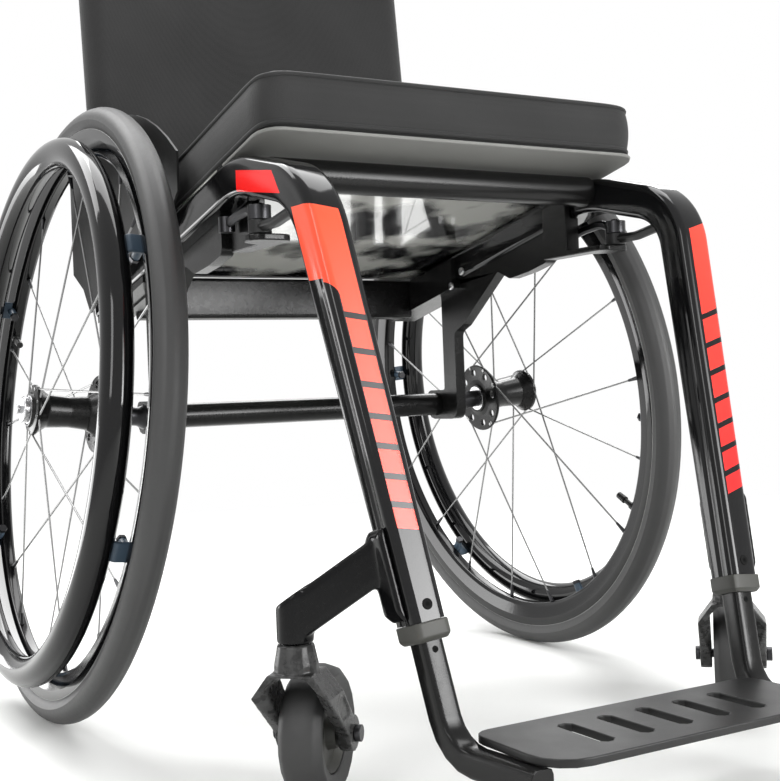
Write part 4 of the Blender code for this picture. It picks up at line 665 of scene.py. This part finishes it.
axlePieces = [
    ("inner_bearing_", 0.0006, brightSteel, "wheel_", "bearing_steel", "innerRace_"),
    ("outer_bearing_", 0.0006, brightSteel, "wheel_", "bearing_steel", "outerRace_"),
    ("axle_pin_", 0.0006, brightSteel, "axle_", "steel", "quickPin_"),
    ("axle_button_", 0.0005, brightSteel, "button_", "steel", "pinButton_"),
]

for label, side in sides.items():
    place = wheelPlace(side)
    tyre(label, place)
    rim(label, place)
    pushrim(label, place)
    pushrimMounts(label, side, place)
    hub(label, side, place)
    spokeSet(label, side, place)
    valve(label, side, place)
    dress(axlePieces, label)
print("wheels made")


rail = {
    "x": 0.181, "width": 0.032, "depth": 0.031, "peakY": -0.2817, "peakTop": 0.5013, "rearY": 0.095,
    "dump": radians(11.5), "peakBend": 0.12, "kneeY": -0.3942, "kneeRise": radians(14), "kneeBend": 0.060,
    "footX": 0.150, "footY": -0.4749, "footZ": 0.1416, "footWidth": 0.028, "footDepth": 0.028,
    "corner": 0.005, "groove": 0.0016, "grooveStart": 0.0032, "grooveWidth": 0.0085,
    "grooveEnd": 0.90, "grooveFade": 0.16,  # shares of the leg's length
    "legRings": 28,  # extra rings down the leg, where the width changes
}


def railTop(y):
    return rail["peakTop"] - tan(rail["dump"]) * (y - rail["peakY"])


def railCentre(y):
    return railTop(y) - rail["depth"] / 2 / cos(rail["dump"])


kneeZ = railCentre(rail["peakY"]) - tan(rail["kneeRise"]) * (rail["peakY"] - rail["kneeY"])
legDown = (Vector((rail["footX"], rail["footY"], rail["footZ"]))
           - Vector((rail["x"], rail["kneeY"], kneeZ))).normalized()


def legPoint(z):  # the left down tube's middle at a height, in the object's frame
    share = (rail["footZ"] - z) / -legDown.z
    return Vector((rail["footX"], rail["footY"] + axleY, rail["footZ"])) + legDown * share


decal = {
    "start": 0.434, "length": 0.294, "gapWidth": 0.0046, "notch": 0.3865, "notchFoot": 0.3735,
    "front": 0.0090, "foldStart": 0.0085, "foldBack": -0.0105, "flareStart": 0.0012, "flare": 0.012,
    "ends": {"left": (0.2110, 0.4365), "right": (0.2072, 0.4400)},
    "margins": {"left": (-0.0069, 0.0104), "right": (-0.0085, 0.0071)},
    "slant": {"left": 0.30, "right": 0.15},
    "gaps": {"left": (0.257, 0.341, 0.421, 0.4995, 0.571, 0.637, 0.7035),
             "right": (0.257, 0.345, 0.427, 0.5040, 0.5755, 0.6475, 0.715)},
    # each side's red at the top and at the foot of the leg: painted shade darkens it towards the foot, and
    # more on the left side
    "red": {"left": ((0.82, 0.046, 0.028), (0.70, 0.011, 0.014)),
            "right": ((0.86, 0.082, 0.036), (0.84, 0.060, 0.036))},
    "patchRed": (0.80, 0.010, 0.009), "dustRed": (0.95, 0.30, 0.20),
}
railPatch = {
    "lineY": 0.2898, "lineRise": 0.169, "low": 0.4690, "high": 0.4863, "outside": 0.1945,
    "endSlant": 0.756, "endY": 0.3578, "rear": -0.2905,
}


def decalPaint(label, side):
    made = paintedTube("frameDecal_" + label)
    x = made.axis("X") * side
    y = made.axis("Y")
    z = made.axis("Z")
    base = legPoint(rail["footZ"])
    normal = Vector((0, legDown.z, -legDown.y)).normalized()
    across = x - (z - base.z) * (legDown.x / legDown.z) - base.x  # outward from the leg's middle
    forward = (y - base.y) * normal.y + (z - base.z) * normal.z
    low, high = decal["ends"][label]
    inner, outer = decal["margins"][label]
    slope = decal["slant"][label]
    edge = z - across * slope
    length = made.between(edge, low, high)
    # the colour folds over the outer corner above a rounded notch
    lift = made.held((z - decal["notchFoot"]) / (decal["notch"] - decal["notchFoot"]))
    limit = lift * lift * decal["flare"] + (outer + decal["flareStart"])
    face = (forward > decal["front"]) * (across > inner) * (across < limit)
    fold = (across > decal["foldStart"]) * (z > decal["notch"]) * (forward > decal["foldBack"])
    drop = (decal["start"] - edge) / decal["length"]
    half = decal["gapWidth"] / 2 / decal["length"]
    blocks = length
    for share in decal["gaps"][label]:
        blocks = blocks * (1 - made.between(drop, share - half, share + half))
    lean = z - (y - axleY + railPatch["lineY"]) * railPatch["lineRise"]  # height above the rising rail's line
    end = (lean - railPatch["high"]) * railPatch["endSlant"] - railPatch["endY"]
    patch = ((x > railPatch["outside"]) * made.between(y - axleY, end, railPatch["rear"])
             * made.between(lean, railPatch["low"], railPatch["high"]))
    if side > 0:  # the left side has neither the patch nor the fold
        patch = patch * 0
        fold = fold * 0
    red = made.held(face * blocks + fold * length)
    # painted shade: the red darkens down the leg, and the left side's red is darker than the right's
    paintedLitRed, lower = decal["red"][label]
    shade = made.blend(made.held(drop * 1.3), paintedLitRed, lower)
    shade = made.blend(made.noise(scale=70) * 0.04, shade, decal["dustRed"])
    painted = made.blend(red, dusted(made, lacquer["decalBlack"]), shade)
    made.set("Base Color", made.blend(patch, painted, decal["patchRed"]))
    marked = made.held(red + patch)
    clouds = made.noise(lacquer["cloudScale"], 3) * lacquer["cloudRoughness"]
    made.set("Roughness", lacquer["decalRoughness"] + clouds + marked * 0.06)
    made.bump(marked, strength=0.25, distance=0.00015)
    return made


def tubeOutline(width, depth, groove):  # rounded box with a round channel near the front corner of each side
    u = width / 2
    v = depth / 2
    corner = rail["corner"]
    near = -v + corner + rail["grooveStart"]
    far = near + rail["grooveWidth"]
    right = [(u, -v, corner + 0.0014), (u, near, 0.0004), (u - groove, (near + far) / 2, 0.006),
             (u, far, 0.0004), (u, v, corner)]
    left = [(-x, y, radius) for x, y, radius in reversed(right)]
    return roundedOutline(right + left, 5)


def sideTube(label, side):
    foot = (rail["footX"], rail["footY"] + axleY, rail["footZ"])
    knee = (rail["x"], rail["kneeY"] + axleY, kneeZ)
    peak = (rail["x"], rail["peakY"] + axleY, railCentre(rail["peakY"]))
    rear = (rail["x"], rail["rearY"] + axleY, railCentre(rail["rearY"]))
    path = bentPath([(foot, 0), (knee, rail["kneeBend"]), (peak, rail["peakBend"]), (rear, 0)], 20)
    steps = rail["legRings"]
    leg = [(path[0][0].lerp(path[1][0], i / steps), path[0][1]) for i in range(steps)]
    path = leg + path[1:]
    outlines = []
    for index in range(len(path)):
        share = min(1.0, index / steps)  # how far up the leg
        width = rail["footWidth"] + (rail["width"] - rail["footWidth"]) * share
        depth = rail["footDepth"] + (rail["depth"] - rail["footDepth"]) * share
        fade = max(0.05, min(1.0, (rail["grooveEnd"] - index / steps) / rail["grooveFade"]))
        outlines.append(tubeOutline(width, depth, rail["groove"] * fade))
    bm = bmesh.new()
    sweep(bm, path, outlines)
    if side < 0:
        bmesh.ops.scale(bm, verts=bm.verts, vec=(-1, 1, 1))
    makePiece("sideTube_" + label, bm, decalPaint(label, side), "frame",
              ["side_frame_" + label], 28)


sidePieces = [
    ("rail_plug_", 0.0008, blackPlastic, "frame", "black_plastic", "railCap_"),
    ("tube_collar_", 0.0012, greyPlastic, "frame", "grey_plastic", "tubeCollar_"),
    ("caster_arm_", (0.0009, 34), armBlack, "frame", "cast_black", "casterArm_"),
    ("axle_bracket_", 0.0010, castBlack, "frame", "cast_black", "axleBracket_"),
    ("camber_plug_", 0.0006, darkSteel, "frame", "steel", "camberPlug_"),
    ("footrest_tube_", 0.0008, satinBlack, "frame", "satin_black", "footTube_"),
    ("hinge_bracket_", 0.0010, castBlack, "frame", "cast_black", "backHinge_"),
    ("stem_bearing_", 0.0005, brightSteel, "frame", "bearing_steel", "stemRace_"),
    ("side_guard_", 0.0005, blackPlastic, "frame", "black_plastic", "sidePanel_"),
    ("brake_mount_", (0.0007, 6), castBlack, "frame", "cast_black", "brakeClamp_"),
    ("brake_lever_", 0.0009, blackPlastic, "lever_", "black_plastic", "brakeHandle_"),
    ("brake_arm_", 0.0007, darkSteel, "brake_", "steel", "brakeShoe_"),
    ("caster_fork_", (0.0008, 8), forkMetal, "fork_", "cast_black", "casterFork_"),
    ("caster_bolt_", 0.0006, darkSteel, "fork_", "steel", "casterBolt_"),
    ("caster_wheel_", 0.0008, greyPlastic, "caster_", "grey_plastic", "casterHub_"),
    ("caster_tyre_", 0.0016, casterRubber, "caster_", "caster_rubber", "casterTyre_"),
    ("backrest_cane_", 0.0008, satinBlack, "backrest", "satin_black", "backCane_"),
]
middlePieces = [
    ("front_cross_tube", 0.0004, castBlack, "frame", "gloss_black", "frontBrace"),
    ("rear_cross_bar", 0.0004, castBlack, "frame", "gloss_black", "rearBrace"),
    ("seat_pan", 0.0010, seatSheet(), "frame", "carbon", "seatSheet"),
    ("axle_tube", 0.0004, satinBlack, "frame", "satin_black", "crossAxle"),
    ("footplate", 0.0012, blackPlastic, "frame", "black_plastic", "footBoard"),
    ("rigidizer_bar", 0.0004, satinBlack, "backrest", "satin_black", "backBar"),
]

for label, side in sides.items():
    sideTube(label, side)
    dress(sidePieces, label)
print("side frames made")
dress(middlePieces)
print("middle parts made")

cushion = {
    "half": 0.192, "front": -0.333, "rear": 0.052, "frontCorner": 0.020, "rearCorner": 0.012, "lift": 0.0036,
    "edge": 0.044, "cell": 0.0055, "fill": 0.8,  # height of the top edge, remeshing cell
    "held": 0.007, "sole": 0.005, "seam": 0.0045,  # how near the sides, underside and top edge are held
    "cloth": {"quality": 4, "mass": 0.25, "tension_stiffness": 18, "compression_stiffness": 18,
              "bending_stiffness": 1.5, "use_pressure": True, "uniform_pressure_force": 4.0},
    "frames": 20, "cap": 0.005,  # cap: the furthest that the cover may move
    "cord": 0.0021, "foot": 0.0030, "spacing": 0.008, "smoothing": 3,
}


def cushionBase(y):  # underside of the cushion on the sloping seat, y in the object's frame
    return railTop(y - axleY) + cushion["lift"] / cos(rail["dump"])


def settled(mesh, isHeld):  # lets the cover swell a little between its held points
    start = [vertex.co.copy() for vertex in mesh.vertices]
    trial = placed("trial", mesh)
    pins = trial.vertex_groups.new(name="held")
    pins.add([i for i, spot in enumerate(start) if isHeld(spot)], 1.0, "REPLACE")
    swell = worked(trial, "CLOTH")
    for key, value in cushion["cloth"].items():
        setattr(swell.settings, key, value)
    swell.settings.vertex_group_mass = "held"
    swell.settings.effector_weights.gravity = 0
    swell.collision_settings.use_collision = False
    swell.point_cache.frame_end = cushion["frames"]
    for step in range(1, cushion["frames"] + 1):
        bpy.context.scene.frame_set(step)
    shaped = applied(trial)
    bpy.data.objects.remove(trial)
    bpy.context.scene.frame_set(1)
    for vertex, before in zip(shaped.vertices, start):
        move = vertex.co - before
        if move.length > cushion["cap"]:
            vertex.co = before + move.normalized() * cushion["cap"]
    return shaped


def cushionPad():
    model = placed("cushionForm", meshOf("cushionForm", cadForm("seat_cushion")))
    worked(model, "REMESH", mode="VOXEL", voxel_size=cushion["cell"])
    mesh = applied(model)
    bpy.data.objects.remove(model)
    near = cushion["held"]

    def isHeld(spot):
        height = spot.z - cushionBase(spot.y)
        atEdge = (abs(spot.x) > cushion["half"] - near or spot.y - axleY < cushion["front"] + near
                  or spot.y - axleY > cushion["rear"] - near)
        return height < cushion["sole"] or (atEdge and abs(height - cushion["edge"]) < cushion["seam"])

    mesh = settled(mesh, isHeld)
    bm = bmesh.new()
    bm.from_mesh(mesh)
    pad = makePiece("cushionPad", bm, cushionCover, "frame", ["seat_cushion"], smooth=80)
    worked(pad, "SUBSURF", levels=1, render_levels=1)
    return pad


def cordRound(bm, points, radius, steps=10):  # closes a round cord through a ring of points
    tips = [points[(i + 1) % len(points)] - points[i - 1] for i in range(len(points))]
    up = Vector((0, 0, 1))
    rings = []
    for point, tip in zip(points, tips):
        wide = tip.normalized().cross(up).normalized()
        deep = wide.cross(tip.normalized())
        rings.append([bm.verts.new(point + wide * radius * cos(2 * pi * i / steps)
                                   + deep * radius * sin(2 * pi * i / steps)) for i in range(steps)])
    loops = [[bm.edges.new(pair) for pair in zip(ring, ring[1:] + ring[:1])] for ring in rings]
    for first, second in zip(loops, loops[1:] + loops[:1]):
        bmesh.ops.bridge_loops(bm, edges=first + second)


def closeSpaced(points, gap):  # the same closed run with points no further apart than the gap
    spaced = []
    for here, after in zip(points, points[1:] + points[:1]):
        count = max(1, round((after - here).length / gap))
        spaced += [here.lerp(after, i / count) for i in range(count)]
    return spaced


def cushionTrim(pad):  # piping laid on the cover along the top and bottom edges
    wide = cushion["half"]
    cover = BVHTree.FromPolygons([vertex.co for vertex in pad.data.vertices],
                                 [face.vertices for face in pad.data.polygons])
    corners = [(wide * way, cushion[end], cushion[end + "Corner"])
               for way, end in ((-1, "front"), (1, "front"), (1, "rear"), (-1, "rear"))]
    plan = closeSpaced(roundedOutline(corners, 8), cushion["spacing"])
    bm = bmesh.new()
    for height in (cushion["foot"], cushion["edge"]):
        ring = [cover.find_nearest(Vector((x, y + axleY, cushionBase(y + axleY) + height)))[0]
                for x, y in plan]
        for _ in range(cushion["smoothing"]):
            ring = [(ring[i - 1] + ring[i] * 2 + ring[(i + 1) % len(ring)]) / 4 for i in range(len(ring))]
        cordRound(bm, ring, cushion["cord"])
    makePiece("cushionPiping", bm, piping, "frame", smooth=80)


cushionTrim(cushionPad())

backLean = radians(6)
backing = {
    "up": Vector((0, sin(backLean), cos(backLean))), "webHalf": 0.158, "flat": (0.5, 0.24),
    "binding": 0.013, "overlap": 0.001, "proud": 0.0007,
    "rows": (0.0028, 0.0102), "rowHalf": 0.0002, "rowEnd": 0.003, "stitch": 0.0034, "pitch": 0.0048,
    "thread": 0.00045,
}


def slingPart(low, high, half):  # the part of the sling between two heights and two sides
    up = backing["up"]
    bm = cadForm("back_upholstery")
    for point, normal in ((up * low, -up), (up * high, up), (Vector((half, 0, 0)), Vector((1, 0, 0))),
                          (Vector((-half, 0, 0)), Vector((-1, 0, 0)))):
        bmesh.ops.bisect_plane(bm, geom=list(bm.verts) + list(bm.edges) + list(bm.faces), plane_co=point,
                               plane_no=normal, clear_outer=True)
        bmesh.ops.holes_fill(bm, edges=[edge for edge in bm.edges if edge.is_boundary], sides=0)
    return bm


def backBindings(low, high):  # tape folded over the sling's two edges
    bands = bmesh.new()
    for start, end in ((low - backing["overlap"], low + backing["binding"]),
                       (high - backing["binding"], high + backing["overlap"])):
        band = slingPart(start, end, backing["webHalf"])
        bmesh.ops.recalc_face_normals(band, faces=band.faces)
        band.normal_update()
        for vertex in band.verts:
            vertex.co += vertex.normal * backing["proud"]
        joined(bands, band)
    makePiece("backBinding", bands, webbing, "backrest", smooth=50)


def yAt(curve, x):  # the curve's y at x, on a straight line between its points
    xs = sorted(curve)
    after = next(i for i, value in enumerate(xs) if value >= x)
    before = max(0, after - 1)
    span = xs[after] - xs[before]
    share = (x - xs[before]) / span if span else 0
    return curve[xs[before]] + (curve[xs[after]] - curve[xs[before]]) * share


def backStitching(low, high):  # thread rows along both bindings, on the front and rear faces
    up = backing["up"]
    threads = bmesh.new()
    for height in [low + row for row in backing["rows"]] + [high - row for row in backing["rows"]]:
        thin = slingPart(height - backing["rowHalf"], height + backing["rowHalf"],
                         backing["webHalf"] - backing["rowEnd"])
        outline = sorted({(round(v.co.x, 5), round(v.co.y, 5)) for v in thin.verts})
        thin.free()
        for face, out in ((min, -backing["proud"]), (max, backing["proud"])):
            curve = {}
            for x, y in outline:
                curve[x] = face(curve.get(x, y), y)
            spot = min(curve)
            while spot + backing["stitch"] < max(curve):
                ends = []
                for x in (spot, spot + backing["stitch"]):
                    y = yAt(curve, x)
                    ends.append(Vector((x, y + out, (height - y * up.y) / up.z)))
                bar(threads, ends[0], ends[1], backing["thread"], 6)
                spot += backing["pitch"]
    makePiece("backStitching", threads, piping, "backrest", smooth=60)


backCloth = refined("back_upholstery", 0.0, backCover, "backrest", "back_cloth", "backSling")
heights = [vertex.co.dot(backing["up"]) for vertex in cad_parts["back_upholstery"].data.vertices]
backBindings(min(heights), max(heights))
backStitching(min(heights), max(heights))
print("seat and back made")


bolts = {  # radius and height of the head, and on the leg its z and how far ahead of the middle it sits
    "foot": (0.0040, 0.0006, 0.1525, 0.0141), "pin": (0.0024, 0.0004, 0.1225, 0.0097),
    # y from the axle and z of each lug's screw, then y of each side panel's
    "lug": (0.0042, 0.0026), "lugX": 0.1587, "lugs": ((0.0545, 0.408), (-0.0571, 0.4167), (-0.0786, 0.431)),
    "panel": (0.0045, 0.0022), "panelX": 0.2051, "panelLift": 0.003, "panels": (-0.110, 0.030),
}


def fasteners():
    steel = bmesh.new()
    bright = bmesh.new()
    dark = bmesh.new()
    for side in sides.values():
        front = Vector((0, legDown.z, -legDown.y)).normalized()
        for radius, height, z, out in (bolts["foot"], bolts["pin"]):
            spot = legPoint(z) + front * out
            socketScrew(dark, (spot.x * side, spot.y, spot.z), front, radius, height)
        for y, z in bolts["lugs"]:  # through the lug into the rail
            socketScrew(bright, (side * bolts["lugX"], y + axleY, z), (-side, 0, 0), *bolts["lug"])
        for y in bolts["panels"]:  # side panel to rail
            spot = (side * bolts["panelX"], y + axleY, railCentre(y) + bolts["panelLift"])
            socketScrew(steel, spot, (side, 0, 0), *bolts["panel"])
    makePiece("frameScrews", steel, darkSteel, "frame", smooth=40)
    makePiece("railScrews", bright, brightSteel, "frame", smooth=40)
    makePiece("footScrews", dark, screwBlack, "frame", smooth=40)


fasteners()
print("fasteners made")

studio = {
    "camera": (-0.606, -1.2294 + axleY, 0.304), "lens": 58.29,
    "right": (0.8642, -0.5017, -0.0380), "up": (0.0329, -0.0191, 0.9993), "ahead": (0.502, 0.865, 0.0),
    "floorColour": (0.88, 0.885, 0.87), "floorNear": 0.9, "floorFar": 2.2, "floorHalf": 14,
    "floorDrop": 0.0006, "fill": 0.45,
    "lamps": {  # spot, aim, size, power and the way that it dims
        "overhead": ((0.3, 0.45, 2.5), (0, 0, 0.3), (2.2, 1.2), 50, None),
        "highLeft": ((-1.0, 1.2, 2.3), (-0.1, -0.2, 0.2), (1.7, 1.0), 42, None),
        "keySide": ((-2.2, -1.4, 1.5), (0, 0, 0.35), (0.6, 1.6), 22, None),
        "backLeft": ((-1.0, 1.05, 0.20), (-0.15, -0.2, 0.25), (0.9, 0.36), 7, None),
        "backHigh": ((1.15, 1.65, 1.7), (0, 0, 0.4), (1.8, 1.0), 34, None),
        "frontCard": ((0.70, -1.77, 0.85), (-0.1, -0.3, 0.4), (0.74, 1.10), 70, "Y"),
    },
}


def addCamera():
    data = bpy.data.cameras.new("camera")
    data.sensor_fit = "HORIZONTAL"
    data.sensor_width = 36
    data.lens = studio["lens"]
    data.clip_start = 0.05
    camera = placed("camera", data)
    turn = Matrix((studio["right"], studio["up"], [-v for v in studio["ahead"]])).transposed()
    camera.matrix_world = Matrix.Translation(studio["camera"]) @ turn.to_4x4()
    bpy.context.scene.camera = camera


def addLamp(name, spot, aim, size, power, fall):  # fall: the axis along which a card dims, or None
    data = bpy.data.lights.new(name, "AREA")
    data.shape = "RECTANGLE"
    data.size = size[0]
    data.size_y = size[1]
    data.energy = power
    if fall:
        data.use_nodes = True
        tree = data.node_tree
        place = tree.nodes.new("ShaderNodeNewGeometry")
        split = tree.nodes.new("ShaderNodeSeparateXYZ")
        ramp = tree.nodes.new("ShaderNodeValToRGB")
        tree.links.new(place.outputs["Parametric"], split.inputs[0])
        tree.links.new(split.outputs[fall], ramp.inputs[0])
        for element, shade in zip(ramp.color_ramp.elements, (1.0, 0.0)):
            element.color = (shade, shade, shade, 1)
        tree.links.new(ramp.outputs[0], tree.nodes["Emission"].inputs["Strength"])
    lamp = placed(name, data)
    lamp.location = spot
    lamp.rotation_euler = (Vector(aim) - Vector(spot)).to_track_quat("-Z", "Y").to_euler()


def seenDirectly(tree):  # 1 for what the camera, a reflection or a clear material sees
    rays = tree.nodes.new("ShaderNodeLightPath")
    total = rays.outputs["Is Camera Ray"]
    for kind in ("Is Glossy Ray", "Is Transmission Ray"):
        step = tree.nodes.new("ShaderNodeMath")
        step.operation = "ADD"
        step.use_clamp = True
        tree.links.new(total, step.inputs[0])
        tree.links.new(rays.outputs[kind], step.inputs[1])
        total = step.outputs[0]
    return total


def addFloor():  # white paint that takes the shadow and runs out into the white backdrop
    bm = bmesh.new()
    bmesh.ops.create_grid(bm, x_segments=1, y_segments=1, size=studio["floorHalf"])
    bmesh.ops.translate(bm, verts=bm.verts, vec=(0, 0, -studio["floorDrop"]))
    floor = placed("floor", meshOf("floor", bm))
    finish = Finish("floorPaint", studio["floorColour"], roughness=0.6, Specular_IOR_Level=0.2)
    reach = finish.maths("SQRT", finish.axis("X") * finish.axis("X") + finish.axis("Y") * finish.axis("Y"))
    edge = finish.rise((reach - studio["floorNear"]) / (studio["floorFar"] - studio["floorNear"]), 0.0, 1.0)
    glow = finish.node("Emission", {}, {"Color": (1, 1, 1, 1), "Strength": 1.0})
    mix = finish.tree.nodes.new("ShaderNodeMixShader")
    finish.plug(mix.inputs[0], edge * Signal(finish, seenDirectly(finish.tree)))
    finish.tree.links.new(finish.shader.outputs[0], mix.inputs[1])
    finish.plug(mix.inputs[2], glow)
    finish.tree.links.new(mix.outputs[0], finish.tree.nodes["Material Output"].inputs["Surface"])
    floor.data.materials.append(finish.data)


def setWorld():
    world = bpy.data.worlds.new("studio")
    bpy.context.scene.world = world
    world.use_nodes = True
    tree = world.node_tree
    sky = tree.nodes["Background"]
    sky.inputs["Color"].default_value = (1.0, 1.0, 1.0, 1)
    level = tree.nodes.new("ShaderNodeMath")
    level.operation = "MULTIPLY_ADD"
    tree.links.new(seenDirectly(tree), level.inputs[0])
    level.inputs[1].default_value = 1.0 - studio["fill"]
    level.inputs[2].default_value = studio["fill"]
    tree.links.new(level.outputs[0], sky.inputs["Strength"])


addCamera()
addFloor()
setWorld()
for name, lamp in studio["lamps"].items():
    addLamp(name, *lamp)
bpy.context.scene.view_settings.view_transform = "Standard"
print("studio set")
